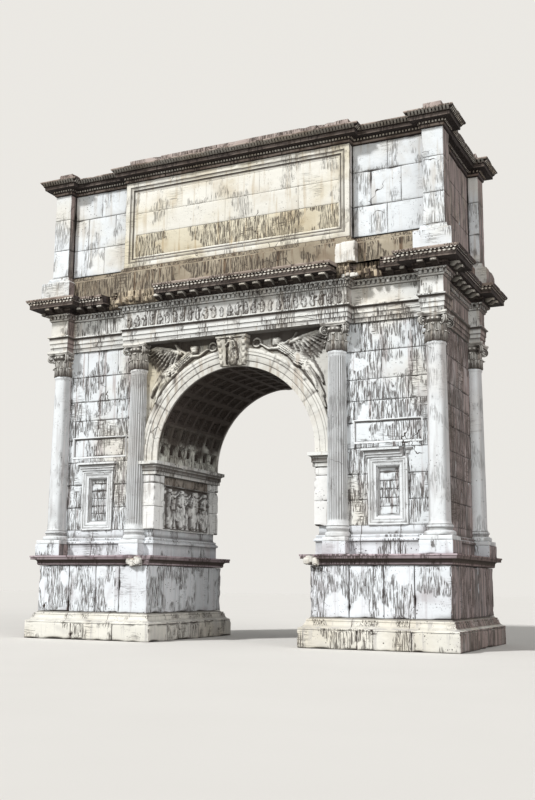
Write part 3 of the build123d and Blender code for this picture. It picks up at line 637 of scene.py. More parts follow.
def cut_out(stones: Stones, hole: Box) -> Stones:
    """Take an oblong hole out of a wall, dividing the stones round it.

    Args:
        stones: Rows of start, end, foot, top and depth.
        hole: Its left, right, low and high.

    Returns:
        The rows that are left.
    """
    left, right, low, high = hole
    kept = []
    for start, end, foot, top, sink in stones:
        if end <= left or start >= right or top <= low or foot >= high:
            kept.append((start, end, foot, top, sink))
            continue
        if start < left:
            kept.append((start, left, foot, top, sink))
        if end > right:
            kept.append((right, end, foot, top, sink))
        middle = (max(start, left), min(end, right))
        if foot < low:
            kept.append((*middle, foot, low, sink))
        if top > high:
            kept.append((*middle, high, top, sink))
    return np.array([row for row in kept if row[1] - row[0] > 0.02 and row[3] - row[2] > 0.02])


def lines_across(length: Array, inner: int) -> Array:
    """Place grid lines across stones of several lengths, close together near the two edges."""
    fine, coarse = np.minimum(0.012, length * 0.06), np.minimum(0.045, length * 0.2)
    middle = coarse[:, None] + (length - 2 * coarse)[:, None] * np.linspace(0, 1, inner)
    zero = np.zeros((len(length), 1))
    return np.concatenate([zero, fine[:, None], middle, (length - fine)[:, None], length[:, None]], 1)


@dataclass(frozen=True)
class StoneWork:
    """Faces of squared stones, each with worn edges, on a plain core."""

    wear: Wear = Wear()
    joint: float = 0.007
    depth: float = 0.2
    along: int = 9
    up: int = 7

    def face(self, piece: Piece, side: Side, stones: Stones, corners: tuple[bool, bool] = (False, False),
             dirt_and_shade_strength: float = 0.5) -> None:
        """Add the stones of one face.

        A stone's front is its plane less edge rounding, wear and its own small set-back. At an outer
        corner of the wall its edge also draws in along the plane by the same wear, so that the faces
        of both sides meet, and its rear is mitred.

        Args:
            piece: Where they go.
            side: Plane of the wall.
            stones: Rows of start, end, foot, top and depth.
            corners: Whether the wall's low and high ends are outer corners.
            dirt_and_shade_strength: Strength of the grime along the joints.
        """
        start, end, foot, top, sink = stones.T
        low, high = start.min(), end.max()
        at_low, at_high = (start < low + 1e-6) & corners[0], (end > high - 1e-6) & corners[1]
        start = start + np.where(at_low, 0, self.joint / 2)
        end = end - np.where(at_high, 0, self.joint / 2)
        length, height = end - start, top - foot - self.joint
        across, rise = lines_across(length, self.along), lines_across(height, self.up)
        gap = np.minimum(across, length[:, None] - across)[:, :, None]
        edge_distance = np.minimum(gap, np.minimum(rise, height[:, None] - rise)[:, None, :])
        along, level = np.broadcast_arrays(start[:, None, None] + across[:, :, None],
                                           (foot + self.joint / 2)[:, None, None] + rise[:, None, :])
        sunk = sink[:, None, None]
        sound = side.place(along, -sunk, level)
        edge = np.exp(-edge_distance / 0.035)
        rounding = 0.012 * held(1 - edge_distance / 0.04) ** 2
        own = scrambled(self.wear.seed + 2, start * 50, foot * 50)[:, None, None]
        broken = eased(smooth_noise(sound, 0.4, self.wear.seed + 4), -0.4, 0.4)
        soiled = np.exp(-edge_distance / 0.016) * (0.4 + 0.6 * own) * broken
        worn = np.clip(self.wear.depth(sound, edge) + rounding, -0.003, self.depth * 0.7)
        near_low = held(1 - (along - low) / 0.04) * at_low[:, None, None]
        near_high = held(1 - (high - along) / 0.04) * at_high[:, None, None]
        drawn = along + worn * (near_low - near_high)
        set_back = 0.006 * own * (1 - near_low) * (1 - near_high)
        faces = side.place(drawn, -sunk - worn - set_back, level)
        rear = np.clip(along, np.where(at_low, low + self.depth, -np.inf)[:, None, None],
                       np.where(at_high, high - self.depth, np.inf)[:, None, None])
        backs = side.place(rear, -sunk - self.depth, level)
        tone = scrambled(self.wear.seed, start * 50, foot * 50)[:, None, None]
        # Stones sunk deeper than 0.06 are painted darker as the shade in their recess; the rest is joint
        # grime and wear.
        dirt_and_shade = held(dirt_and_shade_strength * soiled + (worn - rounding - 0.012) / 0.05 + 3 * held(sunk - 0.06))
        piece.slabs(faces, backs, tone, dirt_and_shade)

    def core(self, piece: Piece, x: Pair, y: Pair, z: Pair, paved: bool = False) -> None:
        """Add the plain mass behind the stones, inside the given planes, and pave its top if wanted."""
        inset = self.depth * 0.7
        corners = np.array(rectangle((x[0] + inset, x[1] - inset), (y[0] + inset, y[1] - inset)).corners)
        rings = [raised(corners, level) for level in (z[0] + 0.004, z[1] - 0.03)]
        # The core is painted black, as the shade seen through the joints.
        piece.tube(np.stack(rings, 1), 0.3, 1.0)
        if paved:
            (left, right), (near, far) = ((ends[0] + self.depth, ends[1] - self.depth) for ends in (x, y))
            beds = list(np.linspace(near, far, max(1, round((far - near) / 0.9)) + 1))
            self.face(piece, Top(z[1]), laid((left, right), beds, 1.3, self.wear.seed))

    def round_plan(self, piece: Piece, plan: Outline, levels: list[float], length: float,
                   dirt_and_shade_strength: float = 0.5) -> None:
        """Lay stones on every edge of a plan, mitred where it turns an outer corner."""
        for index, edge in enumerate(plan.edges()):
            stones = laid((0, edge.length), levels, length, self.wear.seed + index)
            corners = (edge.turns[0] > 0, edge.turns[1] > 0)
            self.face(piece, Side(*edge.start, tuple(edge.way)), stones, corners, dirt_and_shade_strength)

    def box(self, piece: Piece, x: Pair, y: Pair, levels: list[float], length: float, dirt_and_shade_strength: float = 0.5,
            paved: bool = False) -> None:
        """Build an upright block: a core, and stones on its four sides and maybe its top."""
        self.core(piece, x, y, (levels[0], levels[-1]), paved)
        self.round_plan(piece, rectangle(x, y), levels, length, dirt_and_shade_strength)


# Finishes

@dataclass(frozen=True)
class Finish:
    """Colours and weathering of one stone, and the shade painted on its ends, undersides and hollows."""

    name: str
    pale: Colour
    deep: Colour
    stain: Colour
    # Dark colour for dirt and for painted shade.
    grime_and_shade: Colour = (0.055, 0.042, 0.034)
    # Painted shade colour for faces turned to the ends of the arch.
    end: Colour = (0.26, 0.19, 0.175)
    stains: float = 0.5
    streaks: float = 0.5
    pits: float = 0.6
    hatch: float = 0.6
    # Strength of the shade painted on undersides.
    soffit_shade: float = 0.8
    # Strength of the shade painted on faces turned to the ends.
    ends: float = 0.92
    bump: float = 0.9

    def material(self, stone: bpy.types.NodeTree) -> bpy.types.Material:
        """Make the material: the shared weathered stone with this finish's values, on a plain shader."""
        made = bpy.data.materials.new(self.name)
        made.use_nodes = True
        nodes = Nodes(made.node_tree)
        shader = made.node_tree.nodes["Principled BSDF"]
        shader.inputs["Specular IOR Level"].default_value = 0.25
        group = nodes.node("ShaderNodeGroup", node_tree=stone)
        nodes.feed(group.inputs["Place"], nodes.node("ShaderNodeTexCoord").outputs["Object"])
        for label in ("pale", "deep", "stain", "grime_and_shade", "end"):
            group.inputs[label.title()].default_value = (*getattr(self, label), 1)
        for label in ("stains", "streaks", "pits", "hatch", "soffit_shade", "ends"):
            group.inputs[label.title()].default_value = getattr(self, label)
        bump = nodes.node("ShaderNodeBump")
        bump.inputs["Strength"].default_value = self.bump
        bump.inputs["Distance"].default_value = 0.02
        nodes.feed(bump.inputs["Height"], group.outputs["Height"])
        nodes.feed(shader.inputs["Base Color"], group.outputs["Colour"])
        nodes.feed(shader.inputs["Roughness"], group.outputs["Roughness"])
        nodes.feed(shader.inputs["Normal"], bump.outputs["Normal"])
        return made


Socket = bpy.types.NodeSocket
Value = Socket | float | tuple


class Nodes:
    """Lays shader nodes in one tree and joins them."""

    def __init__(self, tree: bpy.types.NodeTree) -> None:
        """Work in a tree."""
        self.tree = tree

    def node(self, kind: str, **settings: object) -> bpy.types.Node:
        """Add a node and set its properties."""
        made = self.tree.nodes.new(kind)
        for label, value in settings.items():
            setattr(made, label, value)
        return made

    def feed(self, socket: Socket, value: Value) -> None:
        """Join a socket to another, or set it to a plain value."""
        if isinstance(value, Socket):
            self.tree.links.new(value, socket)
        else:
            socket.default_value = value

    def math(self, operation: str, first: Value, second: Value = 0.0) -> Socket:
        """Combine two numbers."""
        made = self.node("ShaderNodeMath", operation=operation)
        self.feed(made.inputs[0], first)
        self.feed(made.inputs[1], second)
        return made.outputs[0]

    def times(self, *values: Value) -> Socket:
        """Multiply several numbers."""
        total = values[0]
        for value in values[1:]:
            total = self.math("MULTIPLY", total, value)
        return total

    def mix(self, share: Value, first: Value, second: Value, blend: str = "MIX") -> Socket:
        """Mix two colours."""
        made = self.node("ShaderNodeMix", data_type="RGBA", blend_type=blend, clamp_factor=True)
        self.feed(made.inputs[0], share)
        self.feed(made.inputs[6], first)
        self.feed(made.inputs[7], second)
        return made.outputs[2]

    def between(self, value: Value, low: float, high: float) -> Socket:
        """Rise smoothly from 0 at low to 1 at high; low may be the larger."""
        made = self.node("ShaderNodeMapRange", interpolation_type="SMOOTHSTEP")
        self.feed(made.inputs["Value"], value)
        turned = low > high
        ends = (*sorted((low, high)), *((1, 0) if turned else (0, 1)))
        for label, end in zip(("From Min", "From Max", "To Min", "To Max"), ends):
            made.inputs[label].default_value = end
        return made.outputs[0]

    def stretched(self, place: Socket, scale: Triple) -> Socket:
        """Stretch a place along each axis."""
        made = self.node("ShaderNodeVectorMath", operation="MULTIPLY")
        self.feed(made.inputs[0], place)
        made.inputs[1].default_value = scale
        return made.outputs[0]

    def noise(self, place: Socket, scale: float, detail: float = 3, distortion: float = 0.0) -> Socket:
        """Read noise from 0 to 1 at a place."""
        made = self.node("ShaderNodeTexNoise")
        self.feed(made.inputs["Vector"], place)
        for label, value in (("Scale", scale), ("Detail", detail), ("Distortion", distortion)):
            made.inputs[label].default_value = value
        return made.outputs["Fac"]

    def cells(self, place: Socket, scale: float, feature: str) -> Socket:
        """Read the distance in a pattern of cells: to their centres, or to their edges."""
        made = self.node("ShaderNodeTexVoronoi", feature=feature)
        self.feed(made.inputs["Vector"], place)
        made.inputs["Scale"].default_value = scale
        return made.outputs["Distance"]

    def mark(self, label: str) -> Socket:
        """Read a number that the mesh holds at each point."""
        return self.node("ShaderNodeAttribute", attribute_name=label).outputs["Fac"]


def weathered_stone() -> bpy.types.NodeTree:
    """Build the node group that all finishes share.

    The ground colour wanders between pale and deep, and each stone has its own tone. Over it lie broad
    stains, upright rain streaks, pits, cracks, fine upright and level strokes that are partly weathering and
    partly painted hatch shade, and the mesh's mark of dark dirt and painted shade in hollows. Shade is
    painted on soffits and on faces turned to the ends of the arch, less in the passage. Stones of high tone
    have most strokes, and a high Hatch spreads them wider.

    Returns:
        The node group.
    """
    tree = bpy.data.node_groups.new("Weathered stone", "ShaderNodeTree")
    face = tree.interface
    face.new_socket("Place", in_out="INPUT", socket_type="NodeSocketVector")
    for label in ("Pale", "Deep", "Stain", "Grime_And_Shade", "End"):
        face.new_socket(label, in_out="INPUT", socket_type="NodeSocketColor")
    for label in ("Stains", "Streaks", "Pits", "Hatch", "Soffit_Shade", "Ends"):
        face.new_socket(label, in_out="INPUT", socket_type="NodeSocketFloat")
    face.new_socket("Colour", in_out="OUTPUT", socket_type="NodeSocketColor")
    face.new_socket("Roughness", in_out="OUTPUT", socket_type="NodeSocketFloat")
    face.new_socket("Height", in_out="OUTPUT", socket_type="NodeSocketFloat")
    n = Nodes(tree)
    given = n.node("NodeGroupInput").outputs
    place = given["Place"]
    normal = n.node("ShaderNodeSeparateXYZ")
    n.feed(normal.inputs[0], n.node("ShaderNodeNewGeometry").outputs["Normal"])
    upright = n.between(n.math("ABSOLUTE", normal.outputs["Z"]), 0.75, 0.35)
    spot = n.node("ShaderNodeSeparateXYZ")
    n.feed(spot.inputs[0], place)
    # Painted shade: faces turned to the ends of the arch take the end colour, fully on the ends and at 0.3 in
    # the passage.
    outer = n.math("MAXIMUM", n.between(n.math("ABSOLUTE", spot.outputs["X"]), 3.2, 4.4), 0.3)
    shaded_end = n.times(n.between(n.math("ABSOLUTE", normal.outputs["X"]), 0.5, 0.85), outer)

    colour = n.mix(n.between(n.noise(place, 0.45, 4), 0.46, 0.7), given["Pale"], given["Deep"])
    tone = n.math("MULTIPLY_ADD", n.mark("tone"), 0.1)
    tone.node.inputs[2].default_value = 0.93
    colour = n.mix(1.0, colour, tone, "MULTIPLY")
    # The painted end shade carries fine upright hatch lines of the dark colour.
    end_shade_lines = n.between(n.noise(n.stretched(place, (1, 4.5, 0.22)), 2.2, 3), 0.5, 0.54)
    end_shade_colour = n.mix(n.times(end_shade_lines, 0.85), given["End"], given["Grime_And_Shade"])
    colour = n.mix(n.times(shaded_end, given["Ends"]), colour, end_shade_colour)
    broad = n.between(n.noise(place, 1.1, 6, 0.4), 0.53, 0.72)
    colour = n.mix(n.times(broad, given["Stains"]), colour, given["Stain"])
    rain = n.between(n.noise(n.stretched(place, (7, 7, 0.55)), 1.0, 4), 0.54, 0.68)
    rain = n.times(rain, upright, given["Streaks"])
    colour = n.mix(rain, colour, given["Stain"])
    # The strokes are partly weathering and partly painted hatch shade.
    stroke = n.between(n.noise(n.stretched(place, (1.6, 1.6, 34)), 1.6, 2), 0.55, 0.61)
    level_strokes = n.times(stroke, n.between(n.noise(place, 0.9, 3), 0.56, 0.66), 0.8)
    stroke = n.between(n.noise(n.stretched(place, (30, 30, 2)), 1.5, 2), 0.48, 0.54)
    patch = n.noise(n.stretched(place, (1, 1, 0.7)), 1.5, 4)
    patch = n.math("ADD", patch, n.times(n.mark("tone"), 0.14))
    patch = n.math("ADD", patch, n.times(given["Hatch"], 0.1))
    strokes = n.times(stroke, upright, n.between(patch, 0.67, 0.73))
    strokes = n.math("MINIMUM", n.times(n.math("MAXIMUM", strokes, level_strokes), given["Hatch"]), 0.82)
    colour = n.mix(strokes, colour, given["Grime_And_Shade"])
    pit = n.between(n.cells(place, 8.5, "F1"), 0.2, 0.1)
    pit = n.times(pit, n.between(n.noise(place, 1.7, 3), 0.52, 0.6))
    speck = n.between(n.cells(place, 21, "F1"), 0.22, 0.12)
    speck = n.times(speck, n.between(n.noise(place, 2.9, 2), 0.5, 0.6))
    pits = n.times(n.math("MAXIMUM", pit, speck), given["Pits"])
    colour = n.mix(pits, colour, given["Grime_And_Shade"])
    bent = n.node("ShaderNodeVectorMath", operation="MULTIPLY_ADD")
    wander = n.node("ShaderNodeTexNoise")
    n.feed(wander.inputs["Vector"], place)
    wander.inputs["Scale"].default_value = 2.4
    n.feed(bent.inputs[0], wander.outputs["Color"])
    bent.inputs[1].default_value = (0.5, 0.5, 0.5)
    n.feed(bent.inputs[2], place)
    crack = n.between(n.cells(bent.outputs[0], 0.6, "DISTANCE_TO_EDGE"), 0.006, 0.002)
    crack = n.times(crack, n.between(n.noise(place, 0.6, 2), 0.61, 0.65))
    colour = n.mix(crack, colour, given["Grime_And_Shade"])
    # Painted shade on undersides: faces turned down take the dark colour.
    soffit_shade = n.times(n.between(normal.outputs["Z"], -0.2, -0.8), given["Soffit_Shade"])
    colour = n.mix(soffit_shade, colour, given["Grime_And_Shade"])
    ledge = n.between(normal.outputs["Z"], 0.6, 0.95)
    ledge = n.times(ledge, n.between(n.noise(place, 3.1, 4), 0.4, 0.62), 0.7)
    colour = n.mix(ledge, colour, given["Stain"])
    # The mesh's mark paints dirt in joints and chips, and painted shade in hollows, under overhangs and on
    # black cores.
    colour = n.mix(n.times(n.mark("dirt_and_shade"), 0.92), colour, given["Grime_And_Shade"])

    grain = n.noise(place, 26, 5)
    relief = n.math("MULTIPLY_ADD", n.noise(place, 5.5, 5), 0.9)
    n.feed(relief.node.inputs[2], n.times(grain, 0.35))
    sunk = n.math("ADD", n.times(pits, 0.9), n.math("ADD", n.times(crack, 0.8), n.times(strokes, 0.3)))
    height = n.math("SUBTRACT", relief, sunk)
    rough = n.math("MULTIPLY_ADD", grain, 0.18)
    rough.node.inputs[2].default_value = 0.78
    result = n.node("NodeGroupOutput").inputs
    n.feed(result["Colour"], colour)
    n.feed(result["Roughness"], rough)
    n.feed(result["Height"], height)
    return tree


MARBLE: Colour = (0.89, 0.93, 0.95)
CREAM: Colour = (0.88, 0.85, 0.77)
OCHRE: Colour = (0.50, 0.38, 0.22)
BROWN: Colour = (0.15, 0.105, 0.075)
GREY: Colour = (0.46, 0.44, 0.43)

FINISHES = (
    Finish("Plinth stone", (0.86, 0.84, 0.76), (0.76, 0.71, 0.60), GREY, stains=0.35, pits=0.9, hatch=0.85),
    Finish("Podium cap stone", (0.60, 0.50, 0.53), (0.44, 0.35, 0.38), (0.22, 0.15, 0.17), stains=0.6,
           hatch=0.9),
    Finish("Podium marble", (0.89, 0.93, 0.96), (0.84, 0.86, 0.89), (0.40, 0.35, 0.36), streaks=0.3, pits=0.9,
           hatch=0.9),
    Finish("Wall marble", MARBLE, CREAM, (0.5, 0.45, 0.44), streaks=0.8, stains=0.35, hatch=1.7),
    Finish("Column marble", (0.90, 0.93, 0.94), (0.85, 0.85, 0.83), GREY, stains=0.25, streaks=0.3,
           ends=0.45, hatch=0.4),
    Finish("Carved marble", (0.90, 0.89, 0.83), CREAM, (0.46, 0.36, 0.26), stains=0.3, pits=0.4, hatch=0.3,
           ends=0.5),
    Finish("Passage marble", (0.95, 0.95, 0.93), (0.86, 0.83, 0.77), BROWN, ends=0.0, hatch=0.4, stains=0.15),
    # Painted shadow for the passage wall under the impost.
    Finish("Marble in painted shadow", (0.36, 0.32, 0.28), (0.20, 0.17, 0.14), BROWN, ends=0.0, hatch=1.6),
    # A paler copy of the vault's finish, painted as light on the lowest coffers.
    Finish("Springing marble in painted light", (0.8, 0.8, 0.73), (0.40, 0.39, 0.33), BROWN, ends=0.0, hatch=1.5, soffit_shade=0.4),
    # Painted nearly black as the shade inside the vault.
    Finish("Vault stone in painted shade", (0.06, 0.051, 0.045), (0.036, 0.03, 0.026), (0.1, 0.075, 0.06), soffit_shade=0.5,
           ends=0.3, stains=0.2, hatch=0.3),
    Finish("Entablature marble", (0.91, 0.92, 0.89), CREAM, (0.50, 0.42, 0.32), streaks=0.5, stains=0.3,
           hatch=1.0),
    Finish("Cornice stone", (0.52, 0.43, 0.37), (0.29, 0.22, 0.18), BROWN, (0.025, 0.019, 0.017),
           (0.06, 0.047, 0.052), stains=0.75, streaks=0.8, hatch=1.0, soffit_shade=1.0),
    Finish("Cornice ornament", (0.88, 0.84, 0.75), (0.70, 0.60, 0.46), BROWN, (0.03, 0.023, 0.018),
           (0.13, 0.1, 0.105), stains=0.4, hatch=0.5, soffit_shade=1.0),
    Finish("Attic marble", (0.88, 0.92, 0.94), (0.87, 0.85, 0.78), (0.52, 0.45, 0.36), streaks=0.35,
           stains=0.35, hatch=0.6),
    Finish("Attic base stone", (0.47, 0.41, 0.31), (0.29, 0.24, 0.17), (0.2, 0.14, 0.09), stains=0.6,
           streaks=1.0, hatch=1.9),
    Finish("Blocking stone", (0.52, 0.44, 0.40), (0.35, 0.28, 0.25), (0.2, 0.15, 0.13), stains=0.6,
           hatch=1.4),
    Finish("Tablet marble", (0.90, 0.88, 0.80), (0.80, 0.73, 0.56), OCHRE, stains=0.3, streaks=0.4, pits=0.5,
           hatch=0.6),
    Finish("Lower tablet marble", (0.80, 0.74, 0.58), (0.64, 0.56, 0.40), OCHRE, stains=0.5, streaks=0.8,
           hatch=2.0),
    Finish("Rubble", (0.66, 0.56, 0.41), (0.40, 0.31, 0.21), BROWN, stains=0.7, streaks=0.8, hatch=1.8),
)


# Levels, in metres from the ground

PLINTH_TOP, PODIUM_BASE_TOP, DADO_TOP, PODIUM_TOP = 0.515, 0.835, 2.275, 2.57
PEDESTAL_TOP, SHAFT_FOOT, CAPITAL_FOOT = 2.94, 3.38, 8.44
RELIEF_TOP, IMPOST_FOOT, IMPOST_TOP, ARCH_CENTRE = 4.81, 5.09, 5.5, 5.62
ARCHITRAVE_FOOT, FRIEZE_FOOT, DENTIL_FOOT, CORNICE_FOOT = 9.26, 9.775, 10.28, 10.5
ATTIC_FOOT, ATTIC_WALL_FOOT, ATTIC_CORNICE_FOOT, ATTIC_TOP, TOP = 10.955, 11.835, 14.73, 15.185, 15.545
PASSAGE_X, RECESS_X, INNER_X, BAY_X, PIER_X, CORNER_X = 2.68, 2.8, 3.4, 4.89, 6.32, 6.38
PIER_Y, ROW_Y = 1.98, 2.05
WALL_BEDS = [SHAFT_FOOT, 4.1, 4.83, 5.57, 6.3, 6.94, 7.57, 8.4, ARCHITRAVE_FOOT]

# Mouldings: out and up as shares of the course, with the bend of the way there if it isn't straight

STEPPED_BASE: list[Run] = [(1, 0), (1, 0.12), (0.42, 0.62, HOLLOW), (0.42, 0.7), (0.28, 0.7),
                           (0.28, 0.88, SWELL), (0, 1, HOLLOW)]
PODIUM_CAP: list[Run] = [(0.1, 0), (0.25, 0.22, SWELL), (0.25, 0.34), (0.62, 0.58, HOLLOW),
                         (0.9, 0.58), (0.9, 0.82), (1, 0.86, SWELL), (1, 1)]
WALL_BASE: list[Run] = [(0.7, 0), (0.7, 0.46), (1, 0.46), (1, 0.56, SWELL), (0.6, 0.62, HOLLOW),
                        (0.6, 0.68, SWELL), (0, 0.76, HOLLOW), (0, 1)]
FASCIAE: list[Run] = [(0, 0), (0, 0.26), (0.2, 0.26), (0.2, 0.54), (0.4, 0.54),
                      (0.4, 0.82), (0.9, 0.93, HOLLOW), (1, 0.93), (1, 1)]
PLAIN: list[Run] = [(0, 0), (0, 0.06), (0, 0.94), (0, 1)]
BED_MOULD: list[Run] = [(0, 0), (0.3, 0.25, SWELL), (0.3, 0.78), (0.66, 0.78), (1, 1, SWELL)]
CORONA: list[Run] = [(0.26, 0), (0.26, 0.2), (0.3, 0.24, SWELL), (0.3, 0.36), (0.84, 0.36),
                     (0.84, 0.62), (0.87, 0.66), (0.93, 0.8, HOLLOW), (0.98, 0.92, SWELL), (1, 0.92),
                     (1, 1)]
ATTIC_FOOT_RUNS: list[Run] = [(1, 0), (1, 0.36), (1, 0.72), (0.8, 0.76), (0.3, 0.9, HOLLOW),
                              (0.3, 0.94), (0, 1, HOLLOW)]
ATTIC_CROWN: list[Run] = [(0, 0), (0.1, 0.2, SWELL), (0.14, 0.22), (0.3, 0.42, HOLLOW),
                          (0.68, 0.42), (0.68, 0.64), (0.76, 0.68), (0.88, 0.84, HOLLOW),
                          (0.97, 0.93, SWELL), (1, 0.93), (1, 1)]
IMPOST: list[Run] = [(0.2, 0), (0.2, 0.3), (0.4, 0.3), (0.4, 0.55), (0.75, 0.72, HOLLOW),
                     (1, 0.76), (1, 1)]

SIDES = ("right", "left")
CAP_BREACHES = {"right": (2.5, 3.04), "left": (-3.43, -2.5)}


def mirrored(span: Pair, side: str) -> Pair:
    """Give a span along X of the right pier, or its mirror image for the left one."""
    return span if side == "right" else (-span[1], -span[0])


@dataclass
class FrameMoulding:
    """A mitred moulding round an oblong on an upright plane."""

    left: float
    right: float
    low: float
    high: float
    line: tuple[Pair, ...]
    wear: Wear
    spacing: float
    dirt_and_shade_strength: float = 2.6

    def surface(self, piece: Piece, side: Side) -> None:
        """Add the frame: point = outline - way out * inset, raised off the plane by the profile less wear."""
        plan = rectangle((self.left, self.right), (self.low, self.high))
        places, ways, _, _, rooms = plan.stations(self.spacing, 99, 1)
        line = np.array(self.line)
        flat = carried(places, ways, rooms, np.tile(-line[:, 0], (len(places), 1)))
        out = np.broadcast_to(line[None, :, 1], flat.shape[:2])
        sound = side.place(flat[..., 0], out, flat[..., 1])
        proud = line[:, 1] > line[:, 1].min() + 1e-6
        edge = held((line[:, 1] - line[:, 1].mean()) / 0.03)[None]
        worn = self.wear.depth(sound, edge) * proud
        # Hollows of the profile are painted darker as shade.
        dirt_and_shade = held(worn / 0.05 + self.dirt_and_shade_strength * hollowness(line[:, ::-1], 0.03)[None])
        piece.hoop(side.place(flat[..., 0], out - worn, flat[..., 1]), 0.55, dirt_and_shade)


# Piers

@dataclass
class Podium:
    """Plinth, moulded base, dado of upright blocks and broken cap of one pier."""

    side: str
    span: Pair = (PASSAGE_X, 6.75)
    depth: float = 2.38
    plinth: float = 0.28
    base: float = 0.27
    cap: float = 0.24
    work: StoneWork = StoneWork(Wear(0.1, 0.02, 0.003, 11), 0.022, along=10, up=12)

    def blocks(self, name: str, outset: float, levels: list[float], length: float, finish: str) -> None:
        """Build one course of squared blocks on all four sides, round a core."""
        x = mirrored((self.span[0] - outset, self.span[1] + outset), self.side)
        piece = Piece(f"{self.side}_{name}_blocks")
        self.work.box(piece, x, (-self.depth - outset, self.depth + outset), levels, length, 1.2)
        piece.build(finish, f"{self.side}_{name}")

    def build(self) -> None:
        """Build the four courses."""
        seed = 3 if self.side == "right" else 8
        plan = rectangle(mirrored(self.span, self.side), (-self.depth, self.depth))
        self.blocks("plinth", self.plinth, [0, PLINTH_TOP], 1.6, "Plinth stone")
        base = Course(plan, PLINTH_TOP, PODIUM_BASE_TOP - PLINTH_TOP, self.base, STEPPED_BASE, 1.5,
                      wear=Wear(0.05, seed=seed))
        base.build(f"{self.side}_podium_base_moulding", f"{self.side}_podium_base", "Plinth stone")
        self.blocks("podium_dado", 0, [PODIUM_BASE_TOP, DADO_TOP], 1.0, "Podium marble")
        # The recess under the cap's fascia is painted black as shadow.
        cap = Course(plan, DADO_TOP, PODIUM_TOP - DADO_TOP, self.cap, PODIUM_CAP, 1.7,
                     wear=Wear(0.06, seed=seed + 2), shadow_band=(0.2, 0.62),
                     breaches=(Breach(CAP_BREACHES[self.side], self.depth + self.cap * 0.2),))
        cap.build(f"{self.side}_podium_cap_moulding", f"{self.side}_podium_cap", "Podium cap stone")


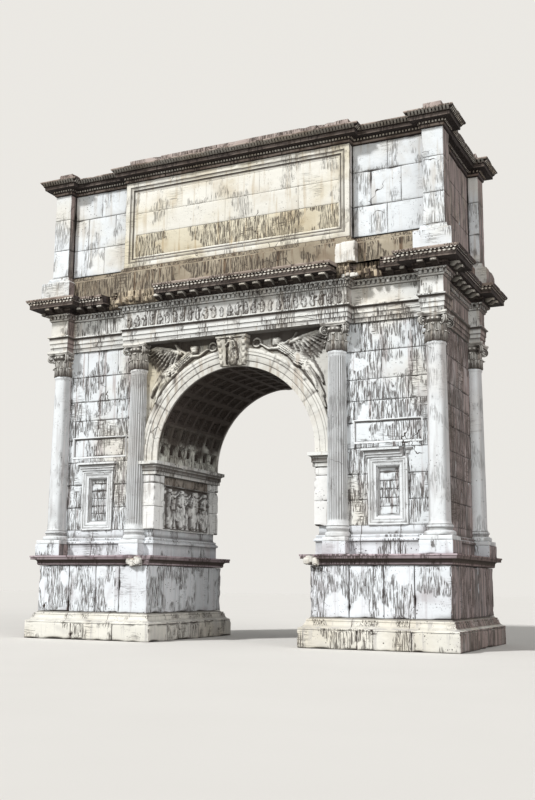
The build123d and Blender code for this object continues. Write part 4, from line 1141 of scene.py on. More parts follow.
@dataclass
class PierWalls:
    """Base course with pedestals, wall, jambs and impost of one pier."""

    side: str
    base: float = 0.11
    jamb: Pair = (1.5, 2.1)
    jamb_beds: tuple[float, ...] = (SHAFT_FOOT, 4.1, 4.83, IMPOST_FOOT)
    impost: float = 0.15
    pedestals: Pair = (0.37, 0.48)
    panel: Box = (3.9, 5.88, 5.75, 6.34)
    panel_depth: float = 0.045
    window: Box = (4.54, 5.24, 3.43, 5.12)
    window_depth: float = 0.11
    work: StoneWork = StoneWork(Wear(0.05, 0.014, 0.003, 21), 0.014, along=8, up=6)

    def base_course(self) -> None:
        """Build the moulded base course and the square pedestals that stand out of it."""
        piece = Piece(f"{self.side}_base_course")
        span = mirrored((RECESS_X - 0.01, PIER_X), self.side)
        Course(rectangle(span, (-PIER_Y, PIER_Y)), PODIUM_TOP, SHAFT_FOOT - PODIUM_TOP, self.base, WALL_BASE,
               1.4, wear=Wear(0.05, seed=24)).surface(piece)
        work = StoneWork(Wear(0.045, 0.012, 0.003, 27), along=7, up=5)
        for (x, half), y in product(zip((INNER_X, CORNER_X), self.pedestals), (-ROW_Y, ROW_Y)):
            work.box(piece, mirrored((x - half, x + half), self.side), (y - half, y + half),
                     [PODIUM_TOP, PEDESTAL_TOP], 1.2)
        piece.build("Podium marble", f"{self.side}_wall_base")

    def bay_stones(self, seed: int) -> Stones:
        """Lay the stones of a bay, with its long panel and its blind window sunk into it."""
        wall = laid((INNER_X, PIER_X), WALL_BEDS, 1.45, seed)
        for hole in (self.panel, self.window):
            wall = cut_out(wall, hole)
        left, right, low, high = self.panel
        middle = (left + right) / 2 - 0.15
        fill = [(*ends, low, high, self.panel_depth) for ends in ((left, middle), (middle, right))]
        left, right, low, high = self.window
        beds = np.linspace(low, high, 8)
        fill += [(left, right, foot, top, self.window_depth) for foot, top in zip(beds, beds[1:])]
        return np.concatenate([wall, np.array(fill)])

    def wall(self) -> None:
        """Build the wall behind the columns: two bays and the end."""
        piece = Piece(f"{self.side}_wall_stones")
        x = mirrored((INNER_X, PIER_X), self.side)
        self.work.core(piece, x, (-PIER_Y, PIER_Y), (SHAFT_FOOT, ARCHITRAVE_FOOT))
        stones = self.bay_stones(31 if self.side == "right" else 37)
        turned = stones.copy()
        turned[:, 0], turned[:, 1] = -stones[:, 1], -stones[:, 0]
        right = self.side == "right"
        self.work.face(piece, front(PIER_Y), stones if right else turned, (not right, right), 0.9)
        self.work.face(piece, back(PIER_Y), turned if right else stones, (right, not right), 0.9)
        end = laid((-PIER_Y, PIER_Y), WALL_BEDS, 1.0, 33)
        outward = 1 if right else -1
        self.work.face(piece, Side(outward * PIER_X, 0, (outward, 0)), end, (True, True))
        piece.build("Wall marble", f"{self.side}_pier_wall")

    def passage(self) -> None:
        """Build the wall of the passage, its two corner pilasters and the impost on top."""
        outward = -1 if self.side == "right" else 1
        piece = Piece(f"{self.side}_passage_stones")
        x = mirrored((RECESS_X, INNER_X + 0.1), self.side)
        self.work.core(piece, x, (-PIER_Y, PIER_Y), (SHAFT_FOOT, IMPOST_FOOT))
        stones = laid((-PIER_Y, PIER_Y), [SHAFT_FOOT, RELIEF_TOP, IMPOST_FOOT], 1.3, 41)
        self.work.face(piece, Side(-outward * RECESS_X, 0, (outward, 0)), stones, (True, True))
        # The passage wall is painted dark as the shadow under the impost.
        piece.build("Marble in painted shadow", f"{self.side}_passage_wall")
        piece = Piece(f"{self.side}_jamb_stones")
        x = mirrored((PASSAGE_X, INNER_X), self.side)
        work = StoneWork(Wear(0.16, 0.04, 0.004, 43), 0.014, along=8, up=11)
        for y in (self.jamb, (-self.jamb[1], -self.jamb[0])):
            work.box(piece, x, y, list(self.jamb_beds), 1, 0.7)
        piece.build("Passage marble", f"{self.side}_jamb_pilasters")
        # A band of the impost's face is painted black as the shadow under its crown.
        impost = Course(rectangle(x, (-self.jamb[1], self.jamb[1])), IMPOST_FOOT, IMPOST_TOP - IMPOST_FOOT,
                        self.impost, IMPOST, 1.2, 0.05, Wear(0.05, seed=47), shadow_band=(0.29, 0.56))
        impost.build(f"{self.side}_impost_moulding", f"{self.side}_impost", "Entablature marble")

    def build(self) -> None:
        """Build everything of the pier between podium and architrave but columns and carving."""
        self.base_course()
        self.wall()
        self.passage()


@dataclass
class BlindWindows:
    """Stepped frames of the four blind windows, each with a small cornice, and of the panels over them."""

    half: float = 0.59
    top: float = 5.29
    head: float = 5.54
    infill: Box = (-0.352, 0.352, 3.62, 5.05)
    panel: Box = (-1.04, 1.04, 5.7, 6.39)
    frame: tuple[Pair, ...] = ((0, -0.03), (0, 0.045), (0.02, 0.06), (0.05, 0.06), (0.065, 0.05),
                               (0.125, 0.048), (0.14, 0.032), (0.144, 0.03), (0.2, 0.028), (0.225, 0.016),
                               (0.24, 0.01), (0.24, -0.03))
    strip: tuple[Pair, ...] = ((0, -0.12), (0, -0.035), (0.03, -0.04), (0.036, -0.065), (0.06, -0.07),
                               (0.066, -0.12))
    trim: tuple[Pair, ...] = ((0, -0.05), (0, 0.012), (0.03, 0.014), (0.05, -0.004), (0.062, -0.02),
                              (0.07, -0.06))
    breach: Pair = (0.4, 0.9)
    hood: float = 0.15

    def build(self) -> None:
        """Build all four as one piece; the cornice of the right front one is broken."""
        piece = Piece("window_frames")
        outer = (-self.half, self.half, SHAFT_FOOT, self.top)
        frames = ((outer, self.frame, 0.08), (self.panel, self.trim, 0.1), (self.infill, self.strip, 0.08))
        for number, (side, x) in enumerate(product((front(PIER_Y), back(PIER_Y)), (-BAY_X, BAY_X))):
            wear = Wear(0.05, 0.01, 0.002, 51 + number)
            for (left, right, low, high), line, spacing in frames:
                FrameMoulding(x + left, x + right, low, high, line, wear, spacing).surface(piece, side)
            ends = [side.place(x + reach, 0, 0)[0] for reach in (-self.half, self.half)]
            y = sorted((side.y * 0.97, side.y + side.outward[1] * 0.06))
            low, high = self.breach
            broken = (Breach((x + low, x + high), PIER_Y + 0.03),) if side.y < 0 < x else ()
            Course(rectangle((min(ends), max(ends)), (y[0], y[1])), self.top, self.head - self.top, self.hood,
                   IMPOST, 9, 0.05, Wear(0.09, 0.01, 0.003, 55 + number), broken, ledge=0.1).surface(piece)
        piece.build("Column marble", "blind_windows")


# Studio

@dataclass
class Studio:
    """Camera at the picture's viewpoint, soft lamps, pale floor and pale background."""

    eye: Triple = (14.11, -29.182, 1.713)
    yaw: float = 25.523
    pitch: float = 10.279
    roll: float = 0.504
    focal: float = 1019.435
    frame_height: float = 800
    sensor: float = 36
    pale: Colour = (0.83, 0.81, 0.77)

    def camera(self) -> None:
        """Set the camera: forward, right and up follow from yaw and pitch, and roll turns the last two."""
        yaw, pitch, roll = radians(self.yaw), radians(self.pitch), radians(self.roll)
        forward = Vector((-sin(yaw) * cos(pitch), cos(yaw) * cos(pitch), sin(pitch)))
        right = Vector((cos(yaw), sin(yaw), 0))
        up = right.cross(forward)
        right, up = cos(roll) * right + sin(roll) * up, cos(roll) * up - sin(roll) * right
        lens = bpy.data.cameras.new("camera")
        lens.sensor_width = self.sensor
        lens.lens = self.focal * self.sensor / self.frame_height
        lens.clip_end = 400
        made = bpy.data.objects.new("camera", lens)
        rows = [(*row, place) for row, place in zip(zip(right, up, -forward), self.eye)]
        made.matrix_world = Matrix(rows + [(0, 0, 0, 1)])
        bpy.context.scene.collection.objects.link(made)
        bpy.context.scene.camera = made

    def lamp(self, name: str, energy: float, spread: float, source: Triple) -> None:
        """Add a broad sun that shines from a direction."""
        light = bpy.data.lights.new(name, "SUN")
        light.energy, light.angle = energy, radians(spread)
        made = bpy.data.objects.new(name, light)
        made.rotation_euler = Vector(source).to_track_quat("Z", "Y").to_euler()
        bpy.context.scene.collection.objects.link(made)

    def seen(self, nodes: Nodes) -> Socket:
        """Tell rays of the camera, of gloss and of glass from those that only light."""
        path = nodes.node("ShaderNodeLightPath")
        return nodes.math("MAXIMUM", path.outputs["Is Camera Ray"], nodes.math(
            "MAXIMUM", path.outputs["Is Glossy Ray"], path.outputs["Is Transmission Ray"]))

    def world(self) -> None:
        """Light evenly, and show the pale background to camera, gloss and glass alike."""
        world = bpy.data.worlds.new("studio")
        bpy.context.scene.world = world
        world.use_nodes = True
        nodes = Nodes(world.node_tree)
        plain = world.node_tree.nodes["Background"]
        shown = nodes.node("ShaderNodeBackground")
        blend = nodes.node("ShaderNodeMixShader")
        plain.inputs["Color"].default_value, plain.inputs["Strength"].default_value = (1, 1, 1, 1), 0.32
        shown.inputs["Color"].default_value, shown.inputs["Strength"].default_value = (*self.pale, 1), 1
        for socket, value in zip(blend.inputs, (self.seen(nodes), plain.outputs[0], shown.outputs[0])):
            nodes.feed(socket, value)
        nodes.feed(world.node_tree.nodes["World Output"].inputs["Surface"], blend.outputs[0])

    def floor(self) -> None:
        """Lay the pale floor, which throws back less light than it shows."""
        mesh = bpy.data.meshes.new("floor")
        reach = 160
        mesh.from_pydata([(-reach, -reach, 0), (reach, -reach, 0), (reach, reach, 0), (-reach, reach, 0)], [],
                         [(0, 1, 2, 3)])
        made = bpy.data.objects.new("floor", mesh)
        bpy.context.scene.collection.objects.link(made)
        plain = bpy.data.materials.new("Floor")
        plain.use_nodes = True
        shader = plain.node_tree.nodes["Principled BSDF"]
        nodes = Nodes(plain.node_tree)
        ground = nodes.noise(nodes.node("ShaderNodeTexCoord").outputs["Object"], 0.3, 2)
        shown = nodes.mix(ground, (*self.pale, 1), (0.79, 0.77, 0.73, 1))
        nodes.feed(shader.inputs["Base Color"], nodes.mix(self.seen(nodes), (0.4, 0.39, 0.37, 1), shown))
        shader.inputs["Roughness"].default_value = 0.9
        shader.inputs["Specular IOR Level"].default_value = 0.1
        mesh.materials.append(plain)

    def build(self) -> None:
        """Set up everything that isn't the arch."""
        bpy.context.scene.view_settings.view_transform = "Standard"
        self.camera()
        self.world()
        self.floor()
        self.lamp("key", 2.8, 6, (-0.42, -0.68, 0.66))
        self.lamp("fill", 1.15, 40, (0.8, -0.45, 0.28))


# Small repeated ornament

@dataclass(frozen=True)
class Ornament:
    """A small prism that is repeated along a course: one section, scaled across its width."""

    section: tuple[Pair, ...]
    across: tuple[float, ...]
    scales: tuple[float, ...]

    def repeat(self, piece: Piece, places: Array, ways: Array, level: float, wear: float,
               dirt_and_shade_strength: float) -> None:
        """Add one at each place: point = place + way * out + run * across, raised to the level.

        Args:
            piece: Where they go.
            places: Points in plan.
            ways: The way out at each.
            level: Height of the section's zero.
            wear: Share by which single ones are worn smaller.
            dirt_and_shade_strength: Shade painted at the root, where it meets the course; it fades to none at
                the tip.
        """
        section, across = np.array(self.section), np.array(self.across)
        middle = section.mean(0)
        shrink = 1 - wear * scrambled(7, places[:, 0] * 97, places[:, 1] * 89)[:, None, None]
        local = (section[None] - middle) * np.array(self.scales)[:, None, None] + middle
        runs = joined(-ways[:, 1], ways[:, 0])
        out = local[None, ..., 0] * shrink
        flat = (places[:, None, None] + ways[:, None, None] * out[..., None]
                + runs[:, None, None] * (across[None, :, None, None] * shrink[..., None]))
        points = raised(flat, level + local[None, ..., 1])
        count, rows, columns = points.shape[:3]
        ring = np.arange(columns)[None]
        faces = [grid_faces(rows, columns, (False, True)), ring, (ring + (rows - 1) * columns)[:, ::-1]]
        tone = scrambled(9, places[:, 0] * 31, places[:, 1] * 37)[:, None]
        share = held(1 - out / max(section[:, 0].max(), 1e-3))
        dirt_and_shade = np.broadcast_to(dirt_and_shade_strength * share, points.shape[:-1])
        piece.copies(points.reshape(count, -1, 3), faces, np.broadcast_to(tone, (count, rows * columns)),
                     dirt_and_shade.reshape(count, -1))


def oval(width: float, height: float, out: float, number: int = 6) -> tuple[Pair, ...]:
    """Give an oval section, anticlockwise: centre plus half width * cos and half height * sin."""
    turn = np.arange(number) * 2 * pi / number
    return tuple(zip(out + width / 2 * np.cos(turn), height / 2 * np.sin(turn)))


DENTIL = Ornament(((0, 0), (0.056, 0.004), (0.056, 0.097), (0, 0.1)), (-0.048, 0.048), (1, 1))
EGG = Ornament(oval(0.055, 0.07, 0.02), (-0.045, -0.03, 0, 0.03, 0.045), (0.25, 0.8, 1, 0.8, 0.25))
TICK = Ornament(((0, 0), (0.035, 0.003), (0.035, 0.06), (0, 0.064)), (-0.03, 0.03), (1, 1))
TONGUE = Ornament(((0, 0), (0.028, 0), (0.078, 0.065), (0.11, 0.112), (0.09, 0.12), (0, 0.1)),
                  (-0.034, 0.034), (1, 1))
BRACKET = Ornament(((0, -0.13), (0.08, -0.15), (0.15, -0.14), (0.22, -0.09), (0.27, -0.07), (0.31, -0.085),
                    (0.33, -0.06), (0.325, -0.02), (0.3, 0.01), (0, 0.01)),
                   (-0.095, -0.085, -0.03, 0, 0.03, 0.085, 0.095), (0.9, 1, 1, 1.06, 1, 1, 0.9))


# Broken places

@dataclass(frozen=True)
class Rubble:
    """Worn lumps of stone that lie in a broken place."""

    x: Pair
    y: Pair
    z: Pair
    size: Pair
    count: int
    seed: int
    round: int = 14
    levels: int = 9

    def surface(self, piece: Piece) -> None:
        """Add the lumps: point = centre + half size * (ring * cos, ring * sin, rise), swollen by noise.

        The cosine and sine are raised to the power 0.6, which squares the lump, and the ring is
        (1 - rise^4)^0.25. The places and sizes are pseudo-random.
        """
        number = np.arange(self.count)
        shares = np.stack([scrambled(self.seed + axis, number) for axis in range(6)], -1)
        low, high = np.array([self.x, self.y, self.z]).T
        centres = low + shares[:, :3] * (high - low)
        halves = self.size[0] + shares[:, 3:] * (self.size[1] - self.size[0])
        turn = np.arange(self.round)[:, None] * 2 * pi / self.round
        rise = np.linspace(-1, 1, self.levels)[None]
        ring = np.maximum(1 - rise ** 4, 0.02) ** 0.25
        square = [np.sign(wave) * np.abs(wave) ** 0.6 for wave in (np.cos(turn), np.sin(turn))]
        unit = joined(ring * square[0], ring * square[1], rise)
        lumps = unit[None] * halves[:, None, None]
        noise = fractal(lumps + number[:, None, None, None] * 3.7, 0.16, self.seed)
        points = centres[:, None, None] + lumps * (1 + 0.28 * noise)[..., None]
        caps = np.arange(self.round)[None] * self.levels
        faces = [grid_faces(self.round, self.levels, (True, False)), caps[:, ::-1], caps + self.levels - 1]
        tone = np.broadcast_to(shares[:, :1], (self.count, self.round * self.levels))
        # Dents in the lumps are painted darker as shade.
        piece.copies(points.reshape(self.count, -1, 3), faces, tone,
                     np.clip(0.1 - noise, 0, 0.8).reshape(self.count, -1))


@dataclass
class BrokenPlaces:
    """Rough upright masonry and lumps where the cornice and the podium caps have fallen."""

    slips: tuple[Triple, ...] = ((-3.96, -2.46, 2.64), (-4.5, -3.98, 2.3), (3.54, 3.97, 2.52),
                                 (3.97, 4.88, 2.34))
    lumps: tuple[Rubble, ...] = (
        Rubble((-3.9, -2.6), (-2.68, -2.6), (10.56, 10.74), (0.05, 0.12), 11, 201),
        Rubble((4.05, 4.8), (-2.4, -2.32), (10.56, 10.72), (0.05, 0.12), 6, 211),
        Rubble((3.6, 3.95), (-2.58, -2.5), (10.56, 10.78), (0.05, 0.11), 6, 215),
        Rubble((-4.4, -4.05), (-2.36, -2.28), (10.58, 10.85), (0.05, 0.11), 4, 221))
    caps: tuple[Rubble, ...] = (
        Rubble((2.66, 2.9), (-2.5, -2.46), (2.36, 2.46), (0.09, 0.13), 3, 231),
        Rubble((-3.3, -2.7), (-2.48, -2.44), (2.34, 2.46), (0.07, 0.13), 6, 241),
        Rubble((3.6, 4.3), (-2.6, -2.48), (10.54, 10.57), (0.05, 0.09), 5, 251))
    block: Triple = (3.54, 4.17, 2.602)
    block_height: float = 0.63

    def build(self) -> None:
        """Build the rough places, the pale block of the attic base over the right one, and the pale lumps."""
        piece = Piece("broken_masonry")
        for number, (left, right, depth) in enumerate(self.slips):
            rough = StoneWork(Wear(0.09, 0.06, 0.012, 191 + number), 0.014, 0.12, 5, 9)
            stones = laid((left, right), [CORNICE_FOOT + 0.01, ATTIC_FOOT + 0.01], 0.125, 195 + number)
            rough.face(piece, front(depth), stones, dirt_and_shade_strength=0.9)
        for rubble in self.lumps:
            rubble.surface(piece)
        piece.build("Rubble", slot="cornice_stone")
        piece = Piece("broken_caps")
        for rubble in self.caps:
            rubble.surface(piece)
        left, right, depth = self.block
        work = StoneWork(Wear(0.04, 0.01, 0.003, 199), 0.004, 0.27, 12, 12)
        stone = (left, right, ATTIC_FOOT, ATTIC_FOOT + self.block_height, 0.0)
        work.face(piece, front(depth), np.array([stone]))
        piece.build("Carved marble", slot="podium_marble")


# Entablature and attic

@dataclass
class Entablature:
    """Architrave, frieze, dentils and the broken cornice on its brackets."""

    plan: Outline = broken_plan((6.715, 2.385), (6.045, 1.715), (6.365, 2.035), (3.84, 2.385))
    breaches: tuple[Breach, ...] = (Breach((-4.0, -2.42), 2.52), Breach((-4.52, -3.9), 2.2),
                                    Breach((3.84, 4.92), 2.2), Breach((3.5, 3.92), 2.4))
    bare: tuple[Pair, ...] = ((-4.6, -2.4), (3.5, 5.0))
    architrave_reach: float = 0.095
    bed_reach: float = 0.15
    cornice_reach: float = 0.635
    centre: float = 2.385
    figures: int = 27
    carved_half: float = 3.76

    def cornice(self) -> None:
        """Build the cornice with brackets and eggs; none hang where it has broken away."""
        # The lower part of the cornice, among its brackets, is painted black as shadow.
        course = Course(self.plan, CORNICE_FOOT, ATTIC_FOOT - CORNICE_FOOT, self.cornice_reach, CORONA, 1.25,
                        0.075, Wear(0.075, 0.02, 0.004, 61), self.breaches, 0.75, shadow_band=(0, 0.6))
        course.build("cornice_with_brackets", "modillion_cornice", "Cornice stone")
        piece, whole = Piece("cornice_ornament"), self.whole
        BRACKET.repeat(piece, *whole(*self.plan.spots(0.17, 0.44, 0.12)), CORNICE_FOOT + 0.164, 0.16, 0.9)
        EGG.repeat(piece, *whole(*self.plan.spots(0.53, 0.13)), ATTIC_FOOT - 0.15, 0.2, 0.3)
        TICK.repeat(piece, *whole(*self.plan.spots(0.57, 0.11)), ATTIC_FOOT - 0.105, 0.3, 0.3)
        piece.build("Cornice ornament", slot="cornice_stone")

    def whole(self, places: Array, ways: Array) -> tuple[Array, Array]:
        """Keep the places that no breach takes."""
        x, y = places.T
        broken = (y < -2.1) & np.any([(x > low) & (x < high) for low, high in self.bare], axis=0)
        return places[~broken], ways[~broken]

    def dentils(self) -> None:
        """Build the bed mould with its teeth and the eggs over them."""
        piece = Piece("dentil_band")
        height = CORNICE_FOOT - DENTIL_FOOT
        Course(self.plan, DENTIL_FOOT, height, self.bed_reach, BED_MOULD, 1.2, 0.08,
               Wear(0.03, 0.008, 0.002, 64), dirt_and_shade_strength=0.9).surface(piece)
        DENTIL.repeat(piece, *self.plan.spots(0.044, 0.152), DENTIL_FOOT + height * 0.32, 0.15, 0.8)
        EGG.repeat(piece, *self.plan.spots(0.1, 0.115), DENTIL_FOOT + height * 0.88, 0.15, 0.5)
        piece.build("Entablature marble", "dentil_course")

    def frieze(self) -> None:
        """Build the frieze, with a row of small draped figures over the arch on both faces."""
        piece = Piece("frieze_stones")
        Course(self.plan, FRIEZE_FOOT, DENTIL_FOOT - FRIEZE_FOOT, 0, PLAIN, 1.6, 0.12,
               Wear(0.02, 0.012, 0.003, 68)).surface(piece)
        kinds = list(Arms)
        sizes = 0.3 + 0.1 * scrambled(5, np.arange(self.figures))
        rows = [figure(x, FRIEZE_FOOT + 0.035, size, kinds[number % 3], 1 - 2 * (number % 5 > 2))
                for number, (x, size) in enumerate(zip(np.linspace(-3.6, 3.6, self.figures), sizes))]
        for number, side in enumerate((front(self.centre), back(self.centre))):
            carving = Carving(np.concatenate(rows), Wear(0.05, 0.01, 0.003, 171 + number), 0.004, 0.075)
            carving.panel(piece, side, (-self.carved_half, self.carved_half),
                          (FRIEZE_FOOT + 0.01, DENTIL_FOOT - 0.01), 0.021, -0.03)
        piece.build("Entablature marble", "frieze")

    def build(self) -> None:
        """Build the four courses."""
        course = Course(self.plan, ARCHITRAVE_FOOT, FRIEZE_FOOT - ARCHITRAVE_FOOT, self.architrave_reach,
                        FASCIAE, 1.9, 0.1, Wear(0.03, 0.008, 0.002, 66), dirt_and_shade_strength=1.8)
        course.build("architrave_fasciae", "architrave", "Entablature marble")
        self.frieze()
        self.dentils()
        self.cornice()


@dataclass
class Attic:
    """Base, wall, bare tablets, cornice and worn blocks of the attic."""

    reach: Pair = (6.8, 2.36)
    pilasters: Pair = (6.15, 1.71)
    body: Pair = (6.45, 2.08)
    tablet: Box = (-3.93, 3.93, 11.815, ATTIC_CORNICE_FOOT)
    tablet_back: float = 2.27
    beds: tuple[float, ...] = (ATTIC_WALL_FOOT, 12.78, 13.86, ATTIC_CORNICE_FOOT)
    field: Pair = (-3.57, 3.57)
    field_beds: tuple[float, ...] = (12.17, 12.93, 13.66, 14.38)
    border: tuple[Pair, ...] = ((0, -0.09), (0, -0.008), (0.012, 0), (0.15, 0), (0.165, -0.014),
                                (0.2, -0.02), (0.262, -0.022), (0.27, -0.034), (0.3, -0.05),
                                (0.345, -0.056), (0.37, -0.066), (0.37, -0.09))
    base_reach: float = 0.23
    corner_reach: float = 0.238
    cornice_reach: float = 0.41
    low_course: float = 0.13
    paving: Box = (3.95, 6.33, -1.96, 1.96)
    paving_rise: float = 0.16

    def plan(self, centre: float) -> Outline:
        """Give the attic's plan, with the reach of its middle break."""
        return broken_plan(self.reach, self.pilasters, self.body, (self.tablet[1], centre))

    def corners(self, inset: float = 0.0) -> list[tuple[Pair, Pair]]:
        """Give the four corner breaks in plan, each a little narrower all round."""
        x, y = ((near + inset, far - inset) for near, far in zip(self.pilasters, self.reach))
        return [((sx * x[0], sx * x[1])[::sx], (sy * y[0], sy * y[1])[::sy])
                for sx, sy in product((-1, 1), repeat=2)]

    def tablets(self) -> None:
        """Build both tablets: a moulded border round a bare field of large slabs, the lowest ones tan."""
        piece, lower = Piece("tablet_stones"), Piece("lower_tablet_stones")
        work = StoneWork(Wear(0.012, 0.012, 0.004, 73), 0.006, 0.06, 15, 8)
        for number, side in enumerate((front(self.reach[1]), back(self.reach[1]))):
            wear = Wear(0.03, 0.008, 0.003, 74 + number)
            FrameMoulding(*self.tablet, self.border, wear, 0.1, 7).surface(piece, side)
            field = laid(self.field, list(self.field_beds), 2.4, 75 + number, 0.06)
            low = field[:, 2] < self.field_beds[0] + 0.03
            work.face(piece, side, field[~low], dirt_and_shade_strength=0.4)
            work.face(lower, side, field[low], dirt_and_shade_strength=0.6)
        piece.build("Tablet marble", "tablets")
        lower.build("Lower tablet marble", slot="tablet_marble")

    def wall(self) -> None:
        """Build the attic wall with its corner pilasters."""
        piece = Piece("attic_stones")
        work = StoneWork(Wear(0.04, 0.014, 0.004, 77), 0.013, 0.16, 7, 6)
        masses = [((-x, x), (-y, y)) for x, y in (self.body, (self.tablet[1], self.tablet_back))]
        for x, y in masses + self.corners():
            work.core(piece, x, y, (ATTIC_WALL_FOOT, ATTIC_CORNICE_FOOT))
        work.round_plan(piece, self.plan(self.tablet_back), list(self.beds), 1.4, 0.8)
        piece.build("Attic marble", "attic_wall")

    def cornice(self) -> None:
        """Build the crowning cornice, its dentils and the ticks of its top band."""
        plan = self.plan(self.reach[1])
        # A middle band of the cornice is painted black as the shadow under its crown.
        course = Course(plan, ATTIC_CORNICE_FOOT, ATTIC_TOP - ATTIC_CORNICE_FOOT, self.cornice_reach,
                        ATTIC_CROWN, 1.5, 0.09, Wear(0.08, 0.02, 0.004, 81), dirt_and_shade_strength=0.7, shadow_band=(0.22, 0.6))
        course.build("attic_cornice_stones", "attic_cornice", "Cornice stone")
        piece = Piece("attic_cornice_ornament")
        TICK.repeat(piece, *plan.spots(0.06, 0.1), ATTIC_CORNICE_FOOT + 0.115, 0.25, 0.4)
        TONGUE.repeat(piece, *plan.spots(0.3, 0.1), ATTIC_TOP - 0.145, 0.1, 0.4)
        piece.build("Cornice ornament", slot="cornice_stone")

    def blocks(self) -> None:
        """Build the low top course and the worn blocks on it."""
        piece = Piece("blocking_stones")
        wear, inset = Wear(0.12, 0.05, 0.006, 83), 0.04
        x, y = self.body[0] - inset, self.body[1] - inset
        Course(rectangle((-x, x), (-y, y)), ATTIC_TOP, self.low_course, 0, PLAIN, 1.4, 0.12,
               wear).surface(piece)
        work = StoneWork(Wear(0.06, 0.03, 0.004, 85), 0.012, 0.06, 7, 6)
        near, far, low, high = self.paving
        beds = list(np.linspace(low, high, 5))
        for span in ((-far, -near), (near, far)):
            work.face(piece, Top(ATTIC_TOP + self.paving_rise), laid(span, beds, 1.2, 87))
        work = StoneWork(wear, 0.01, 0.16, 7, 6)
        x, y = self.tablet[1] - inset, self.reach[1] - inset
        for spans in self.corners(inset) + [((-x, x), (-y, y))]:
            work.box(piece, *spans, [ATTIC_TOP, TOP], 1.1, paved=True)
        piece.build("Blocking stone", "blocking_course")

    def build(self) -> None:
        """Build the attic from its base up; the base is paler under the corner pilasters."""
        height, wear = ATTIC_WALL_FOOT - ATTIC_FOOT, Wear(0.05, 0.014, 0.004, 71)
        base = Course(self.plan(self.reach[1]), ATTIC_FOOT, height, self.base_reach, ATTIC_FOOT_RUNS, 1.5,
                      0.1, wear)
        base.build("attic_base_stones", "attic_base", "Attic base stone")
        piece = Piece("attic_corner_bases")
        for x, y in self.corners():
            Course(rectangle(x, y), ATTIC_FOOT, height, self.corner_reach, ATTIC_FOOT_RUNS, 1.5, 0.08,
                   wear).surface(piece)
        piece.build("Attic marble", slot="attic_marble")
        self.wall()
        self.tablets()
        self.cornice()
        self.blocks()


# Columns

@dataclass
class Shaft:
    """One column shaft: turned, with a slight swelling, and fluted on the inner columns."""

    name: str
    x: float
    y: float
    fluted: bool
    foot: float = 0.305
    top: float = 0.265
    flutes: int = 24
    drums: Pair = (0.36, 0.7)
    groove: float = 0.026
    wear: Wear = Wear(0.02, 0.016, 0.002, 91)

    def build(self) -> None:
        """Build the shaft: point = axis + radius(height) * (cos, sin), less flute and wear.

        The radius shrinks with height^1.6. A flute is a half circle of phase, as deep as it is wide,
        and fades out at both ends.
        """
        height = CAPITAL_FOOT - SHAFT_FOOT
        ends = np.array([0, 0.03, 0.06, 0.09, 0.13, 0.16, 0.19, 0.24, 0.32])
        level = np.concatenate([ends, np.linspace(0.45, height - 0.45, 22), (height - ends)[::-1]])
        steps = self.flutes * 6 if self.fluted else 72
        turn = np.arange(steps) * 2 * pi / steps
        radius = self.foot + (self.top - self.foot) * (level / height) ** 1.6
        neck = np.exp(-((level - height + 0.05) / 0.035) ** 2) * 0.03 + held(1 - level / 0.1) ** 2 * 0.022
        drums = sum(np.exp(-(((level - height * share) / 0.012) ** 2)) for share in self.drums)
        around = circle(turn)
        base = np.array([self.x, self.y])
        flat = base + around[:, None] * (radius + neck)[None, :, None]
        points = raised(flat, SHAFT_FOOT + level)
        phase = (turn * self.flutes / (2 * pi) + 0.5) % 1 - 0.5
        fade = eased(level, 0.12, 0.2) * eased(height - level, 0.12, 0.2)
        flute = np.sqrt(held(1 - (phase / 0.4) ** 2))[:, None] * fade[None] * self.fluted
        worn = self.wear.depth(points, (1 - flute) * self.fluted) + 0.01 * drums[None]
        depth = np.maximum(flute * self.groove * (1 - np.clip(worn / 0.03, 0, 0.7)), 0) + worn
        points[..., :2] -= around[:, None] * depth[..., None]
        piece = Piece(self.name.replace("shaft", "column"))
        # Flutes are painted darker as shade; the drum joints are dark joints.
        dirt_and_shade = held(flute * 0.62 + worn / 0.06 + 0.5 * (drums > 0.5)[None])
        piece.tube(points, 0.6, dirt_and_shade)
        piece.build("Column marble", self.name, crease=60)


BASE_RINGS = ((0.72, 0), (0.9, 0.03), (1, 0.12), (1, 0.28), (0.9, 0.36), (0.72, 0.4), (0.5, 0.41),
              (0.5, 0.45), (0.3, 0.46), (0.24, 0.52), (0.24, 0.6), (0.32, 0.66), (0.4, 0.67), (0.4, 0.7),
              (0.48, 0.71), (0.54, 0.76), (0.54, 0.83), (0.46, 0.88), (0.36, 0.9), (0.34, 0.93),
              (0.2, 0.94), (0.2, 1))


